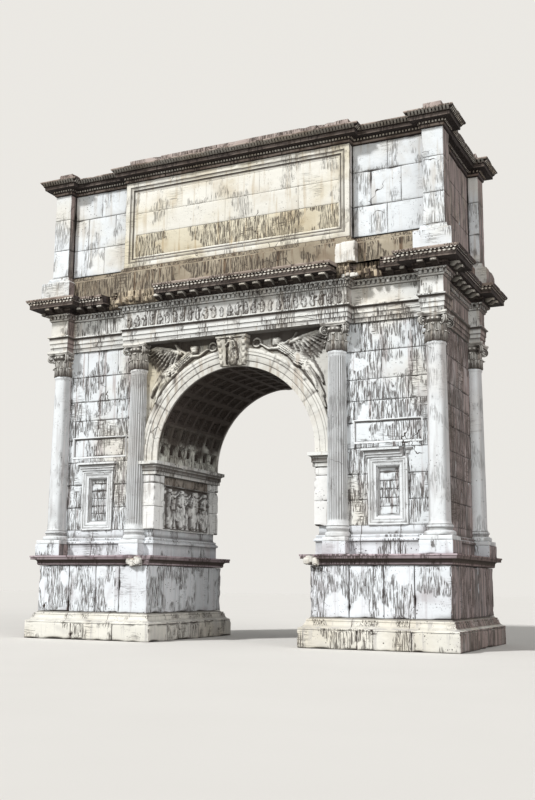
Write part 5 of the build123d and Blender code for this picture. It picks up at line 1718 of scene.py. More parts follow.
@dataclass
class ColumnBases:
    """The four turned bases of a pier on their square plinths."""

    side: str
    foot: float = 0.305
    height: float = 0.44
    plinth: float = 0.125

    def build(self) -> None:
        """Build them: rings of radius foot + spread * out, on a squared slab."""
        piece = Piece(f"{self.side}_base_mouldings")
        rings = np.array(BASE_RINGS)
        around = circle(np.arange(48) * 2 * pi / 48)
        wear = Wear(0.03, 0.01, 0.002, 95)
        work = StoneWork(wear, 0.004, 0.1, 9, 4)
        levels = [PEDESTAL_TOP, PEDESTAL_TOP + self.plinth]
        for x, y in product((INNER_X, CORNER_X), (-ROW_Y, ROW_Y)):
            spread, half = (0.13, 0.46) if x == CORNER_X else (0.06, 0.35)
            x = x if self.side == "right" else -x
            radius = self.foot + spread * rings[:, 0]
            flat = np.array([x, y]) + around[:, None] * radius[None, :, None]
            points = raised(flat, levels[1] + rings[:, 1] * (self.height - self.plinth))
            worn = wear.depth(points, held(rings[:, 0] - 0.5)[None] * 1.5)
            points[..., :2] -= around[:, None] * worn[..., None]
            # The hollows of the base, where its radius is small, are painted darker as shade.
            dirt_and_shade = np.clip(0.9 - rings[:, 0] * 1.6, 0, 0.7)[None] + np.clip(worn / 0.05, 0, 0.3)
            piece.tube(points, 0.5, held(dirt_and_shade))
            work.box(piece, (x - half, x + half), (y - half, y + half), levels, 2, 0.4)
        piece.build("Column marble", f"{self.side}_column_bases")


@dataclass
class Capitals:
    """The four Composite capitals of a pier: two rows of leaves, eggs, corner scrolls and a hollow abacus."""

    side: str
    neck: float = 0.265
    height: float = 0.82
    abacus: float = 0.11
    half: float = 0.43
    scroll: float = 0.135

    def leaf(self, turn: float, radius: float, height: float, width: float, curl: float, piece: Piece,
             centre: Array, seed: int) -> None:
        """Add one leaf.

        Its spine follows an arc: height * sin(a), and out by curl * (1 - cos a)^2 / 2 as a goes from 0 to
        118 degrees. Its half width narrows to the tip and is notched into lobes, whose folds and the
        midrib stand out of its face, and it wraps the bell.

        Args:
            turn: Where on the bell, in radians.
            radius: Distance of its foot from the axis.
            height: How high its crown rises.
            width: How wide it is.
            curl: How far its tip bends out.
            piece: Where it goes.
            centre: Axis of the column in plan.
            seed: Picks its wear.
        """
        along = np.linspace(0, 1, 13)
        across = np.linspace(-1, 1, 9)
        angle = along * radians(118)
        out = radius + curl * (1 - np.cos(angle)) ** 2 / 2
        rise = height * np.sin(angle)
        lobes = np.abs(np.sin(along * 3.5 * pi + 0.3))
        half = width / 2 * (0.72 + 0.4 * np.sin(along * pi * 0.8)) * (1 - 0.7 * along ** 5)
        half = half * (0.72 + 0.28 * lobes)
        fold = 0.011 * np.cos(across[None] * 3.2 * pi) * (0.4 + 0.6 * np.abs(across))[None]
        fold = fold * (0.5 + 0.5 * lobes[:, None])
        rib = 0.02 * np.exp(-(across / 0.16) ** 2)[None] * (1 - along[:, None] * 0.5)
        cup = -0.03 * (across ** 2)[None] * along[:, None]
        place = joined(along[:, None] * 3, across[None], seed * 1.7)
        worn = 0.015 * held(smooth_noise(place, 0.6, seed)) * along[:, None]
        faces = self.wrapped(centre, turn, out[:, None] + fold + rib + cup - worn,
                             half[:, None] * across[None], rise[:, None] - worn * 2)
        rear = self.wrapped(centre, turn, out[:, None] - 0.028 + cup[:, ::4],
                            half[:, None] * across[None, ::-4] * 0.94, rise[:, None] - 0.012 * along[:, None])
        ring = np.concatenate([faces, rear], 1)
        # The folds, the foot and the back of the leaf are painted dark as shade.
        sunk = 0.2 + held(-fold / 0.011) * 0.9 + held(1 - along[:, None] * 1.7) * 0.8
        dirt_and_shade = np.concatenate([sunk, np.full_like(sunk[:, ::4], 1.0)], 1)
        piece.bar(ring[:, ::-1], 0.6, held(dirt_and_shade[:, ::-1]))

    def wrapped(self, centre: Array, turn: float, out: Array, across: Array, up: Array) -> Array:
        """Wrap a flat place round the bell: the angle is turn + across / out."""
        angle = turn + across / np.maximum(out, 0.2)
        return joined(centre[0] + out * np.cos(angle), centre[1] + out * np.sin(angle), CAPITAL_FOOT + up)

    def turned(self, centre: Array, turn: float, out: Array, across: Array, up: Array) -> Array:
        """Turn a place on the plane of a scroll to its corner: out from the axis, across and up."""
        x, y = rotated(out, across, turn)
        return joined(centre[0] + x, centre[1] + y, CAPITAL_FOOT + up)

    def volute(self, piece: Piece, centre: Array, turn: float) -> None:
        """Add one corner scroll: a band on a spiral whose radius shrinks evenly, with an eye in it."""
        steps = np.linspace(0, 1, 36)
        angle = radians(100) - steps * radians(790)
        radius = self.scroll * (1 - 0.82 * steps)
        hub = np.array([self.half * 0.98, self.height - self.abacus - self.scroll + 0.01])
        thick = 0.017 * (1 - 0.45 * steps)
        wide = 0.055 - 0.012 * steps
        side, face = np.array([(-1, -1), (-0.7, 1), (0, 0.55), (0.7, 1), (1, -1)]).T
        length = radius[:, None] + thick[:, None] * face
        out, up = hub[0] + length * np.cos(angle)[:, None], hub[1] + length * np.sin(angle)[:, None]
        band = self.turned(centre, turn, out, wide[:, None] * side, up)
        # The channel and the back edges of the band are painted dark as shade.
        piece.bar(band, 0.65, np.array([0.95, 0, 0.9, 0, 0.95]))
        spin = np.arange(8)[:, None] * 2 * pi / 8
        depth = np.array([-0.05, -0.05, -0.03, 0.03, 0.05, 0.05])
        size = np.array([0.0, 0.5, 1, 1, 0.5, 0.0]) * 0.035 + 0.004
        eye = self.turned(centre, turn, hub[0] + size * np.cos(spin), depth, hub[1] + size * np.sin(spin))
        piece.tube(eye[::-1], 0.6, 0.2)

    def one(self, piece: Piece, centre: Array, seed: int) -> None:
        """Add one whole capital."""
        turn = np.arange(32) * 2 * pi / 32
        bell_top = self.height - self.abacus
        profile = np.array([(0.262, 0), (0.27, 0.03), (0.255, 0.06), (0.255, 0.42), (0.285, 0.52),
                            (0.29, 0.545), (0.31, 0.56), (0.345, 0.62), (0.35, 0.67), (0.32, bell_top)])
        around = circle(turn)
        flat = centre + around[:, None] * profile[None, :, :1]
        points = raised(flat, CAPITAL_FOOT + profile[:, 1])
        # The bell is painted dark as the shade behind the leaves, darkest low down.
        piece.tube(points, 0.5, np.broadcast_to(np.where(profile[:, 1] < 0.5, 1.0, 0.8), points.shape[:2]))
        for number in range(8):
            turn = number * pi / 4
            self.leaf(turn + pi / 8, self.neck + 0.035, 0.3, 0.215, 0.085, piece, centre, seed + number)
            self.leaf(turn, self.neck + 0.012, 0.52, 0.225, 0.095, piece, centre, seed + 9 + number)
        ways = around[::2]
        EGG.repeat(piece, centre + ways * 0.325, ways, CAPITAL_FOOT + 0.63, 0.1, 0.7)
        for corner in range(4):
            self.volute(piece, centre, corner * pi / 2 + pi / 4)
        self.plate(piece, centre, bell_top, seed)

    def plate(self, piece: Piece, centre: Array, foot: float, seed: int) -> None:
        """Add the abacus: a square whose sides are hollowed by a circle's arc and whose corners are cut."""
        share = np.linspace(-1, 1, 9)
        side = np.stack([share * (self.half - 0.03), -(self.half - 0.075 * (1 - share ** 2))], -1)
        ring = np.concatenate([joined(*rotated(*side.T, turn)) for turn in np.arange(4) * pi / 2])
        steps = np.array([(0.93, 0), (0.95, 0.3), (0.95, 0.45), (1, 0.5), (1, 0.9), (0.985, 1)])
        flat = centre + ring[:, None] * steps[None, :, :1]
        level = CAPITAL_FOOT + foot + steps[:, 1] * self.abacus
        points = raised(flat, level)
        edge = np.broadcast_to([[0.4, 0.6, 0.3, 1, 1, 1]], points.shape[:2])
        worn = Wear(0.05, 0.006, 0.002, seed).depth(points, edge)
        points[..., :2] += (centre - points[..., :2]) * (worn / self.half)[..., None]
        # The lower steps of the abacus are painted darker as the shade under its edge.
        piece.tube(points, 0.6, held(worn / 0.04 + np.array([0.5, 0.3, 0.5, 0, 0, 0])))

    def build(self) -> None:
        """Build the four capitals."""
        piece = Piece(f"{self.side}_carved_capitals")
        sign = 1 if self.side == "right" else -1
        for number, (x, y) in enumerate(product((INNER_X, CORNER_X), (-ROW_Y, ROW_Y))):
            self.one(piece, np.array([sign * x, y]), 101 + number * 20)
        piece.build("Carved marble", f"{self.side}_capitals", crease=50)


# Carving in relief

Strokes = Array


def carved(strokes: Strokes, x: Array, z: Array) -> Array:
    """Work out how far a relief stands out of its ground.

    A stroke is a ridge between two points. With d the distance from its line over its half width
    there, its height is rise * sqrt(1 - d^2), less the folds that run along it. The highest counts.

    Args:
        strokes: Rows of both ends, both half widths, the rise and the number of folds.
        x: Places across.
        z: Places up.

    Returns:
        Height at each place.
    """
    height = np.zeros(np.broadcast(x, z).shape)
    for x0, z0, x1, z1, low, high, rise, folds in strokes:
        across, up = x1 - x0, z1 - z0
        size = max(np.hypot(across, up), 1e-6)
        share = held(((x - x0) * across + (z - z0) * up) / size ** 2)
        aside, over = x - x0 - share * across, z - z0 - share * up
        width = low + (high - low) * share
        offset = (aside * up - over * across) / size / width
        lines = 0.3 * (folds > 0) * (0.5 - 0.5 * np.cos(2 * pi * folds * offset))
        form = rise * np.sqrt(held(1 - (aside ** 2 + over ** 2) / width ** 2)) * (1 - lines)
        height = np.maximum(height, form)
    return height


def chain(points: Array, width: float, rise: float, folds: float = 0) -> Strokes:
    """Join points by strokes of one width."""
    same = np.broadcast_to([width, width, rise, folds], (len(points) - 1, 4))
    return np.concatenate([points[:-1], points[1:], same], 1)


def wreath(x: float, z: float, radius: float) -> Strokes:
    """Lay strokes round a circle."""
    return chain(np.array([x, z]) + radius * circle(np.linspace(0, 2 * pi, 15)), radius * 0.34, radius * 0.5)


def festoon(left: float, right: float, z: float, drop: float) -> Strokes:
    """Hang a garland between two points: it falls by drop * (1 - t^2), and is thickest in the middle."""
    share = np.linspace(-1, 1, 12)
    points = np.stack([(left + right) / 2 + share * (right - left) / 2, z - drop * (1 - share ** 2)], -1)
    rows = chain(points, 0.05, 0.07)
    rows[:, 4:6] *= 1.5 - np.abs(share[:-1, None])
    return rows


class Arms(Enum):
    """What a standing figure's free arm does; each value is the strokes of it."""

    STAFF = ((-0.12, 0.8, -0.22, 0.68, 0.036, 0.03, 0.09, 0),
             (-0.22, 0.68, -0.24, 0.86, 0.03, 0.024, 0.09, 0),
             (-0.24, 0.02, -0.24, 1.06, 0.014, 0.014, 0.07, 0))
    SHIELD = ((-0.12, 0.8, -0.19, 0.62, 0.036, 0.03, 0.08, 0), (-0.2, 0.42, -0.2, 0.48, 0.13, 0.13, 0.09, 0),
              (-0.2, 0.45, -0.2, 0.451, 0.04, 0.04, 0.12, 0))
    BOWL = ((-0.12, 0.8, -0.17, 0.64, 0.036, 0.03, 0.09, 0), (-0.17, 0.64, -0.27, 0.7, 0.03, 0.024, 0.1, 0),
            (-0.33, 0.74, -0.24, 0.74, 0.03, 0.03, 0.1, 0))


FIGURE = ((0, 0.93, 0, 0.955, 0.045, 0.05, 0.1, 0), (-0.03, 0.975, 0.03, 0.975, 0.035, 0.035, 0.09, 0),
          (-0.022, 0.957, 0.022, 0.957, 0.008, 0.008, 0.106, 0), (0, 0.955, 0, 0.935, 0.008, 0.012, 0.116, 0),
          (-0.012, 0.917, 0.012, 0.917, 0.006, 0.006, 0.104, 0), (0, 0.86, 0, 0.9, 0.026, 0.026, 0.06, 0),
          (-0.1, 0.815, 0.1, 0.815, 0.045, 0.045, 0.085, 0), (0, 0.8, 0, 0.6, 0.105, 0.085, 0.1, 3),
          (0, 0.62, 0.02, 0.1, 0.1, 0.15, 0.09, 5), (-0.05, 0.58, -0.08, 0.1, 0.06, 0.065, 0.115, 2),
          (-0.08, 0.07, -0.1, 0.03, 0.035, 0.035, 0.07, 0), (0.08, 0.06, 0.1, 0.03, 0.035, 0.035, 0.06, 0),
          (0.13, 0.8, 0.17, 0.62, 0.038, 0.032, 0.09, 0), (0.17, 0.62, 0.08, 0.56, 0.032, 0.026, 0.115, 0),
          (0.13, 0.78, 0.18, 0.22, 0.045, 0.07, 0.06, 3))
WINGED = ((1.4, 8.9, 1.42, 8.95, 0.1, 0.11, 0.12, 0), (1.35, 9.0, 1.49, 9.0, 0.07, 0.07, 0.1, 0),
          (1.37, 8.955, 1.46, 8.955, 0.02, 0.02, 0.128, 0),
          (1.412, 8.95, 1.408, 8.905, 0.018, 0.028, 0.14, 0),
          (1.38, 8.86, 1.43, 8.86, 0.016, 0.016, 0.125, 0), (1.47, 8.84, 1.53, 8.8, 0.055, 0.06, 0.075, 0),
          (1.6, 8.77, 1.88, 8.56, 0.15, 0.12, 0.12, 3), (1.88, 8.56, 2.15, 8.33, 0.12, 0.16, 0.12, 3),
          (2.12, 8.32, 2.45, 8.02, 0.15, 0.11, 0.125, 3), (2.45, 8.02, 2.72, 7.55, 0.1, 0.065, 0.11, 2),
          (2.2, 8.42, 2.6, 8.15, 0.13, 0.1, 0.1, 3), (2.6, 8.15, 2.88, 7.75, 0.09, 0.055, 0.09, 0),
          (2.72, 7.5, 2.76, 7.36, 0.045, 0.035, 0.08, 0), (2.9, 7.68, 2.95, 7.56, 0.04, 0.032, 0.07, 0),
          (2.5, 7.98, 2.92, 7.2, 0.12, 0.08, 0.07, 3), (2.8, 7.4, 3.02, 6.85, 0.09, 0.035, 0.06, 2),
          (2.3, 8.08, 2.56, 7.74, 0.08, 0.06, 0.06, 2), (1.52, 8.73, 1.2, 8.73, 0.055, 0.045, 0.1, 0),
          (1.2, 8.73, 0.92, 8.9, 0.045, 0.032, 0.1, 0), (1.74, 8.86, 1.98, 9.0, 0.05, 0.042, 0.1, 0),
          (1.98, 9.0, 2.08, 9.16, 0.04, 0.03, 0.1, 0), (1.9, 8.86, 2.3, 9.02, 0.075, 0.06, 0.1, 0),
          (2.3, 9.02, 2.8, 9.14, 0.06, 0.035, 0.1, 0))


def figure(x: float, z: float, size: float, arms: Arms, way: float = 1.0) -> Strokes:
    """Stand a draped figure at a place, at a size, facing either way."""
    rows = np.array(FIGURE + arms.value) * ([size] * 7 + [1])
    rows[:, [0, 2]] = x + way * rows[:, [0, 2]]
    rows[:, [1, 3]] += z
    return rows


@dataclass(frozen=True)
class Carving:
    """Forms in relief on the ground of an upright plane."""

    strokes: Strokes
    wear: Wear
    ground: float = 0.0
    full: float = 0.1
    twofold: bool = False
    # Above the height in the next field the ground is painted black as a shadow; the one after sets the shade
    # painted on the ground.
    shadow_line: float = 99.0
    shade: float = 0.18

    def skin(self, piece: Piece, side: Side, along: Array, up: Array, rear: float) -> None:
        """Add the carved face over a grid of places, back to a flat rear.

        The face stands out by ground + height - wear; its rim isn't worn, so that it still meets its
        neighbours. The low ground and the steep flanks are painted darker as shade. A twofold carving is
        mirrored about the middle of the plane. Above a given height the ground is painted black as a shadow.

        Args:
            piece: Where it goes.
            side: The plane.
            along: Places along the plane, as a grid.
            up: Heights, as a grid.
            rear: Distance of the flat back out of the plane.
        """
        height = carved(self.strokes, np.abs(along) if self.twofold else along, up)
        steep = np.hypot(*np.gradient(height)) / (0.1 * self.full)
        sound = side.place(along, self.ground + height, up)
        worn = np.minimum(self.wear.depth(sound, held(height / self.full)), 0.012 + 0.7 * height)
        # Painted shade on the ground and the steep flanks, and a painted black shadow above the given height.
        dirt_and_shade = self.shade * (height < 0.3 * self.full)
        dirt_and_shade = dirt_and_shade + 0.75 * held(steep - 0.4) * (height < 0.8 * self.full)
        ragged = up + 0.12 * smooth_noise(sound, 0.25, self.wear.seed + 6)
        dirt_and_shade += 0.95 * eased(ragged, self.shadow_line, self.shadow_line + 0.1) * (height < 0.4 * self.full)
        worn *= np.pad(np.ones(np.subtract(height.shape, 2)), 1)
        faces, backs = side.place(along, self.ground + height - worn, up), side.place(along, rear, up)
        piece.slabs(faces[None], backs[None], 0.55, held(dirt_and_shade + worn / 0.09)[None])

    def panel(self, piece: Piece, side: Side, span: Pair, levels: Pair, spacing: float, rear: float) -> None:
        """Add an oblong carved face on an even grid."""
        lines = [np.linspace(*ends, int((ends[1] - ends[0]) / spacing) + 1) for ends in (span, levels)]
        along, up = np.meshgrid(*lines, indexing="ij")
        self.skin(piece, side, along, up, rear)


@dataclass
class Spandrels:
    """The two masses of wall over the arch, each carved on both faces with a winged figure."""

    ring: float = 3.23
    columns: int = 50

    def strokes(self) -> Strokes:
        """Gather the figure, its wreath and its feathers, which fan from the wing in two rows."""
        share = np.linspace(0, 1, 10)
        root = joined(1.95 + 0.78 * share, 8.94 + 0.19 * share)
        rows = [np.array(WINGED) * (1, 1, 1, 1, 1.2, 1.2, 1.35, 1), wreath(0.76, 8.98, 0.13)]
        for length, width, rise in ((0.95, 0.05, 0.07), (0.5, 0.06, 0.11)):
            turn = radians(66) - share * radians(56)
            reach = length * (1 - 0.45 * share)
            tip = root + reach[:, None] * circle(-turn)
            same = np.broadcast_to([width, width * 0.7, rise, 0], (len(share), 4))
            rows.append(np.concatenate([root, tip, same], 1))
        return np.concatenate(rows)

    def grid(self) -> tuple[Array, Array]:
        """Lay a grid from the crown to the springing, and from the ring of the arch out to the border.

        The radius goes from the ring's to min(half width / cos, height / sin).
        """
        height = ARCHITRAVE_FOOT - ARCH_CENTRE
        corner = np.arctan2(height, INNER_X)
        turn = np.concatenate([np.linspace(pi / 2, corner, 80), np.linspace(corner, 0, 70)[1:]])[:, None]
        border = np.minimum(INNER_X / np.maximum(np.cos(turn), 1e-9), height / np.maximum(np.sin(turn), 1e-9))
        radius = self.ring + (border - self.ring) * np.linspace(0, 1, self.columns)
        x, z = radius * np.cos(turn), ARCH_CENTRE + radius * np.sin(turn)
        return np.concatenate([x, x[-1:]]), np.concatenate([z, np.full_like(z[-1:], IMPOST_TOP)])

    def build(self) -> None:
        """Build both; a mirrored grid has its rows turned round, so that it still faces outwards."""
        x, z = self.grid()
        strokes = self.strokes()
        for side, sign, finish in (("right", 1, "Carved marble"), ("left", -1, "Tablet marble")):
            piece = Piece(f"{side}_carved_spandrel")
            for plane, way in ((front(PIER_Y), sign), (back(PIER_Y), -sign)):
                wear = Wear(0.07, 0.012, 0.004, 151 + sign + 3 * way)
                # Above 8.93 m the ground is painted black as the shadow under the architrave.
                carving = Carving(strokes, wear, full=0.13, twofold=True, shadow_line=8.93)
                carving.skin(piece, plane, (way * x)[::way], z[::way], -PIER_Y)
            piece.build(finish, f"{side}_spandrel")


@dataclass
class PassageReliefs:
    """The panels on the two walls of the passage: draped figures, with garlands and urns between them."""

    half: float = 1.48
    levels: Pair = (SHAFT_FOOT, RELIEF_TOP)
    places: tuple[float, ...] = (-1.14, -0.38, 0.38, 1.14)
    urn: tuple[tuple[float, ...], ...] = ((0, 0.32, 0, 0.42, 0.1, 0.12, 0.1, 3),
                                          (0, 0.05, 0, 0.3, 0.08, 0.03, 0.07, 0),
                                          (-0.08, 0.54, 0.08, 0.54, 0.025, 0.025, 0.09, 0))

    def strokes(self) -> Strokes:
        """Gather the figures, and the garlands and urns between each two."""
        foot, kinds = self.levels[0] + 0.12, (Arms.STAFF, Arms.BOWL, Arms.SHIELD, Arms.STAFF)
        rows = [figure(x, foot, 1.2, arms, way) * (1, 1, 1, 1, 1.15, 1.15, 1.35, 1)
                for x, arms, way in zip(self.places, kinds, (1, -1, 1, -1))]
        for left, right in zip(self.places, self.places[1:]):
            middle = (left + right) / 2
            rows.append(festoon(left + 0.1, right - 0.1, foot + 1.16, 0.18))
            urn = np.array(self.urn)
            urn[:, [0, 2]] += middle
            urn[:, [1, 3]] += foot
            rows.append(urn)
        edge = rectangle((-self.half, self.half), self.levels).corners
        rows.append(chain(np.array(edge + edge[:1]), 0.055, 0.06))
        return np.concatenate(rows)

    def build(self) -> None:
        """Build both panels."""
        for side, sign in (("right", 1), ("left", -1)):
            piece, wear = Piece(f"{side}_carved_panel"), Wear(0.14, 0.03, 0.005, 161 + sign)
            # Above 4.6 m the ground is painted black as the shadow under the impost, and the rest of the
            # ground darker as shade.
            carving = Carving(self.strokes(), wear, 0.015, 0.15, shadow_line=4.6, shade=0.12)
            plane = Side(sign * RECESS_X, 0, (-sign, 0))
            carving.panel(piece, plane, (-self.half, self.half), self.levels, 0.022, -0.03)
            piece.build("Passage marble", f"{side}_relief_panel")


# Arch, vault and keystones

@dataclass
class Archway:
    """Moulded ring of the arch on both faces, coffered vault and carved keystones.

    The frames of a coffer are distances from its rib and the step down there, and a petal is shares of
    its reach and the height there.
    """

    inner: float = PASSAGE_X
    rows: int = 15
    deep: int = 7
    rib: float = 0.15
    frames: tuple[Pair, ...] = ((0, 0.035), (0.043, 0.03), (0.086, 0.03))
    petal: tuple[Pair, ...] = ((0.12, 0.055), (0.3, 0.045), (0.4, 0.02), (0.75, 0.04), (1, 0.015),
                               (1, -0.02))
    petal_shade: tuple[float, ...] = (0, 0.2, 0.8, 0.1, 0.2, 0.5)
    bed: float = 0.092
    ring: tuple[Pair, ...] = ((0, -0.03), (0, 0.05), (0.012, 0.056), (0.15, 0.056), (0.165, 0.062),
                              (0.172, 0.075), (0.185, 0.085), (0.34, 0.085), (0.355, 0.09), (0.362, 0.105),
                              (0.38, 0.108), (0.43, 0.108), (0.445, 0.112), (0.47, 0.122), (0.5, 0.125),
                              (0.54, 0.125), (0.55, 0.118), (0.55, -0.03))
    grooves: tuple[int, ...] = (4, 5, 8, 9, 12)
    stones: int = 17

    def path(self, steps: int) -> tuple[Array, Array]:
        """Follow the stilted half circle from right to left: centres of curvature and the way out."""
        turn = np.linspace(0, pi, steps)
        around = circle(turn)
        centres = np.broadcast_to([0.0, ARCH_CENTRE], around.shape)
        low = np.array([[0.0, IMPOST_TOP]])
        return np.concatenate([low, centres, low]), np.concatenate([[[1.0, 0.0]], around, [[-1.0, 0.0]]])

    def archivolts(self) -> None:
        """Build both rings: the profile carried along the half circle, with joints between its stones."""
        piece = Piece("archivolt_rings")
        centres, ways = self.path(177)
        turn = np.arctan2(ways[:, 1], ways[:, 0])
        joint = np.exp(-(((turn * self.stones / pi + 0.5) % 1 - 0.5) / 0.025) ** 2)
        joint = joint * (turn > 0.05) * (turn < pi - 0.05)
        line = np.array(self.ring)
        low = np.isin(np.arange(len(line)), self.grooves)
        flat = centres[:, None] + ways[:, None] * (self.inner + line[:, 0])[None, :, None]
        for number, sign in enumerate((-1, 1)):
            rings = joined(flat[..., 0], sign * (PIER_Y + line[:, 1]), flat[..., 1])
            wear = Wear(0.04, 0.008, 0.002, 121 + number)
            worn = wear.depth(rings, held((line[:, 1] - 0.05) / 0.08)[None])
            worn = (worn + 0.01 * joint[:, None]) * (line[:, 1] > 0)
            rings[..., 1] -= sign * worn
            # The grooves of the profile are painted darker as shade; the joints are dark joints.
            dirt_and_shade = held(0.6 * low[None] + 0.4 * joint[:, None] + worn / 0.05)
            order = slice(None, None, sign)
            piece.bar(rings[:, order], 0.6, dirt_and_shade[:, order])
        piece.build("Carved marble", "archivolts")

    def lines(self, count: int, pitch: float) -> Array:
        """Place grid lines across a row of coffers: close pairs at each step of their frames."""
        steps = np.append(0.0, self.rib / 2 + np.array([-0.003, 0.004, 0.04, 0.047, 0.082, 0.09]))
        cell = np.concatenate([steps, [pitch / 2], (pitch - steps)[:0:-1]])
        return np.concatenate([cell + number * pitch for number in range(count)] + [[count * pitch]])

    def sunk(self, place: Array, pitch: float) -> Array:
        """Tell how far a place is from the edge of its coffer's cell."""
        part = place % pitch
        return np.minimum(part, pitch - part)

    def vault(self) -> None:
        """Build the vault's skin: radius grows by the depth of the stepped coffers, cell by cell."""
        piece = Piece("coffered_vault")
        pitch = (2 * PIER_Y - self.rib) / self.deep
        arc = pi * self.inner / self.rows
        half = pitch * self.deep / 2
        along = self.lines(self.rows, arc)
        across = np.concatenate([[-PIER_Y], self.lines(self.deep, pitch) - half, [PIER_Y]])
        deep = np.minimum(self.sunk(along, arc)[:, None], self.sunk(across + half, pitch)[None])
        deep = np.where(np.abs(across)[None] > half, 0, deep) - self.rib / 2
        depth = sum(step * (deep > inset) for inset, step in self.frames)
        around = circle(along / self.inner)
        radius = self.inner + depth
        skin = joined(radius * around[:, :1], across, ARCH_CENTRE + radius * around[:, 1:])
        low = [end * (1, 1, 0) + (0, 0, IMPOST_TOP) for end in (skin[:1], skin[-1:])]
        skin = np.concatenate([low[0], skin, low[1]])
        worn = Wear(0.02, 0.012, 0.003, 131).depth(skin, np.zeros(skin.shape[:2])) * 0.5
        ways = np.concatenate([around[:1], around, around[-1:]])
        skin[..., 0] += ways[:, :1] * worn
        skin[..., 2] += ways[:, 1:] * worn
        heights = np.concatenate([[IMPOST_TOP], np.full(len(along), ARCH_CENTRE), [IMPOST_TOP]])
        rear = [joined(RECESS_X * ways[:, 0], y, heights + RECESS_X * ways[:, 1])[:, None]
                for y in (PIER_Y, -PIER_Y)]
        rings = np.concatenate([skin, *rear], 1)
        depth = np.concatenate([depth[:1] * 0, depth, depth[-1:] * 0])
        self.springing(skin, ways, depth)
        # Deeper steps of the coffers are painted darker as shade, and the rear is painted black.
        dirt_and_shade = np.concatenate([0.25 + depth * 7, np.full((len(ways), 2), 1.0)], 1)
        piece.bar(rings, 0.4, held(dirt_and_shade))
        piece.build("Vault stone in painted shade", "coffer_lining", crease=30)

    def springing(self, skin: Array, ways: Array, depth: Array) -> None:
        """Lay a skin painted as lit over the two lowest rows of coffers on both sides; above a ragged edge it
        is painted dark as shade.

        Args:
            skin: Points of the vault's face, [along, across, xyz].
            ways: The way out at each row, as its x and z.
            depth: Depth of the coffers at each point.
        """
        piece, reach = Piece("springing_coffers_painted_lit"), 30
        out = np.stack([ways[:, 0], 0 * ways[:, 0], ways[:, 1]], -1)[:, None]
        for rows in (slice(0, reach), slice(-reach, None)):
            face = skin[rows]
            ragged = face[..., 2] + 0.45 * smooth_noise(face, 0.35, 137)
            # Deeper coffers and all above the ragged edge are painted darker as shade.
            dirt_and_shade = held(depth[rows] * 6 + eased(ragged, 5.85, 6.4))
            piece.slabs((face - 0.004 * out[rows])[None], (face + 0.16 * out[rows])[None], 0.6, dirt_and_shade[None])
        piece.build("Springing marble in painted light", slot="vault_stone", crease=30)

    def rosettes(self) -> None:
        """Build a flower in each coffer: a dome whose radius swells into eight petals round a bud.

        Point = centre + radius * (cos, sin) on the curved ground, and its height above the coffer's bed
        follows the petal's list, which sinks a ring round the bud. That ring and the foot are painted darker
        as shade.
        """
        piece = Piece("vault_rosettes")
        arc, pitch = pi / self.rows, (2 * PIER_Y - self.rib) / self.deep
        centres = (np.arange(self.deep) - (self.deep - 1) / 2) * pitch
        rows, columns = np.meshgrid((np.arange(self.rows) + 0.5) * arc, centres, indexing="ij")
        spin, (share, height) = np.arange(16)[:, None] * 2 * pi / 16, np.array(self.petal).T
        petals = 0.115 * share * (1 + 0.22 * np.cos(8 * spin) * share)
        turn = rows.reshape(-1, 1, 1) + petals * np.cos(spin) / self.inner
        radius = self.inner + self.bed - height
        points = joined(radius * np.cos(turn), columns.reshape(-1, 1, 1) + petals * np.sin(spin),
                        ARCH_CENTRE + radius * np.sin(turn))
        ring = np.arange(16)[None] * 6
        faces = [grid_faces(16, 6, (True, False))[:, ::-1], ring, ring[:, ::-1] + 5]
        dirt_and_shade_strength = np.broadcast_to(self.petal_shade, points.shape[:3])
        piece.copies(points.reshape(len(points), -1, 3), faces, 0.5, dirt_and_shade_strength.reshape(len(points), -1))
        piece.build("Vault stone in painted shade", slot="vault_stone")

    def keystones(self) -> None:
        """Build both keystones: a wedge whose face swells forward in two curves and bears a draped figure.

        Out of the wall it goes from 0.17 at the foot to 0.29 near the head, plus a bulge. A rolled scroll
        crosses the head, and small leaves stand along both edges.
        """
        piece = Piece("carved_keystones")
        across, up = np.linspace(-1, 1, 65), np.linspace(0, 1, 81)
        a, u = across[:, None], up[None]
        foot, head = ARCH_CENTRE + self.inner + 0.01, ARCHITRAVE_FOOT
        half = (0.43 + 0.09 * u) * np.ones_like(a)
        out = 0.17 + 0.12 * eased(u, 0.25, 0.95) + 0.03 * np.sin(u * pi * 2) * (u < 0.5)
        x, z = a * half, foot + (head - foot) * u + 0 * a
        leaves = 0.035 * np.abs(np.sin(u * 5 * pi)) * np.sqrt(held(1 - ((np.abs(a) - 0.84) / 0.14) ** 2))
        roll = 0.05 * np.sqrt(held(1 - ((u - 0.93) / 0.06) ** 2)) + 0 * a
        bold = figure(0.02, foot + 0.03, 0.83, Arms.STAFF) * (1, 1, 1, 1, 1.15, 1.15, 1.6, 1)
        relief = np.maximum(carved(bold, x, z), np.maximum(leaves, roll))
        out = np.minimum(out + relief, 0.428)
        worn = Wear(0.03, 0.01, 0.002, 141).depth(np.stack([x, out, z], -1), held(relief / 0.06))
        steep = held(np.hypot(*np.gradient(relief)) / 0.012 - 0.4) * (relief < 0.1)
        # The ground and the steep flanks of the figure are painted darker as shade.
        dirt_and_shade = held(0.2 * (relief < 0.03) + 0.75 * steep + worn / 0.08)
        for side in (front(PIER_Y), back(PIER_Y)):
            faces = side.place(x, out - worn, z)
            piece.slabs(faces[None], side.place(x, -0.05, z)[None], 0.6, dirt_and_shade[None])
        piece.build("Tablet marble", "keystones")

    def build(self) -> None:
        """Build the four."""
        self.archivolts()
        self.vault()
        self.rosettes()
        self.keystones()


# Main

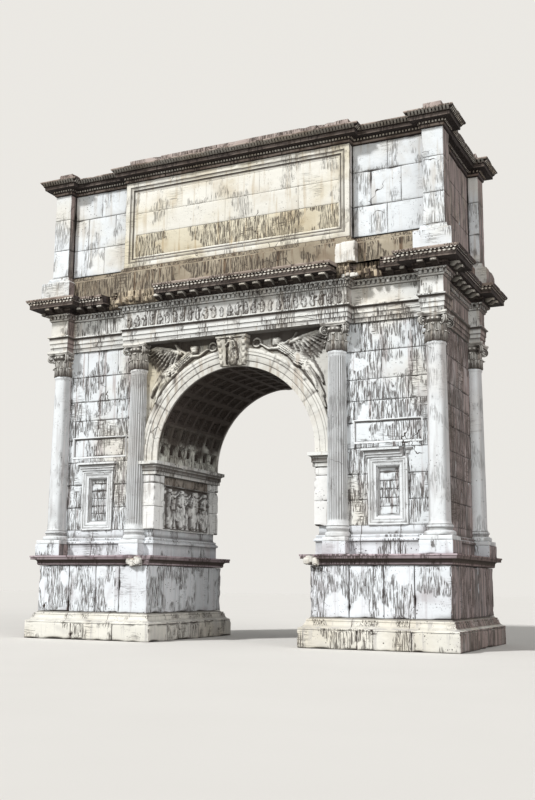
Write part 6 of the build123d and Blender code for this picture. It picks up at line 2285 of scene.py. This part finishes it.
def dress_vault_ring() -> None:
    """Give the one frame node that stays a finish of its own: the vault's, painted nearly black as shade."""
    mesh = bpy.data.objects["vault_ring"].data
    mesh.materials.clear()
    mesh.materials.append(bpy.data.materials["Vault stone in painted shade"])


def main() -> None:
    """Build finishes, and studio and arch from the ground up."""
    logging.basicConfig(level=logging.INFO, format="%(message)s")
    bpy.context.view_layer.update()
    stone = weathered_stone()
    for finish in FINISHES:
        finish.material(stone)
    Studio().build()
    for side in SIDES:
        Podium(side).build()
        PierWalls(side).build()
        ColumnBases(side).build()
        Capitals(side).build()
        for (row, y), (place, x) in product((("front", -ROW_Y), ("back", ROW_Y)),
                                            (("inner", INNER_X), ("corner", CORNER_X))):
            x = x if side == "right" else -x
            Shaft(f"{side}_{row}_{place}_shaft", x, y, place == "inner").build()
    BlindWindows().build()
    Archway().build()
    Spandrels().build()
    PassageReliefs().build()
    Entablature().build()
    Attic().build()
    BrokenPlaces().build()
    dress_vault_ring()


if __name__ == "__main__":
    main()
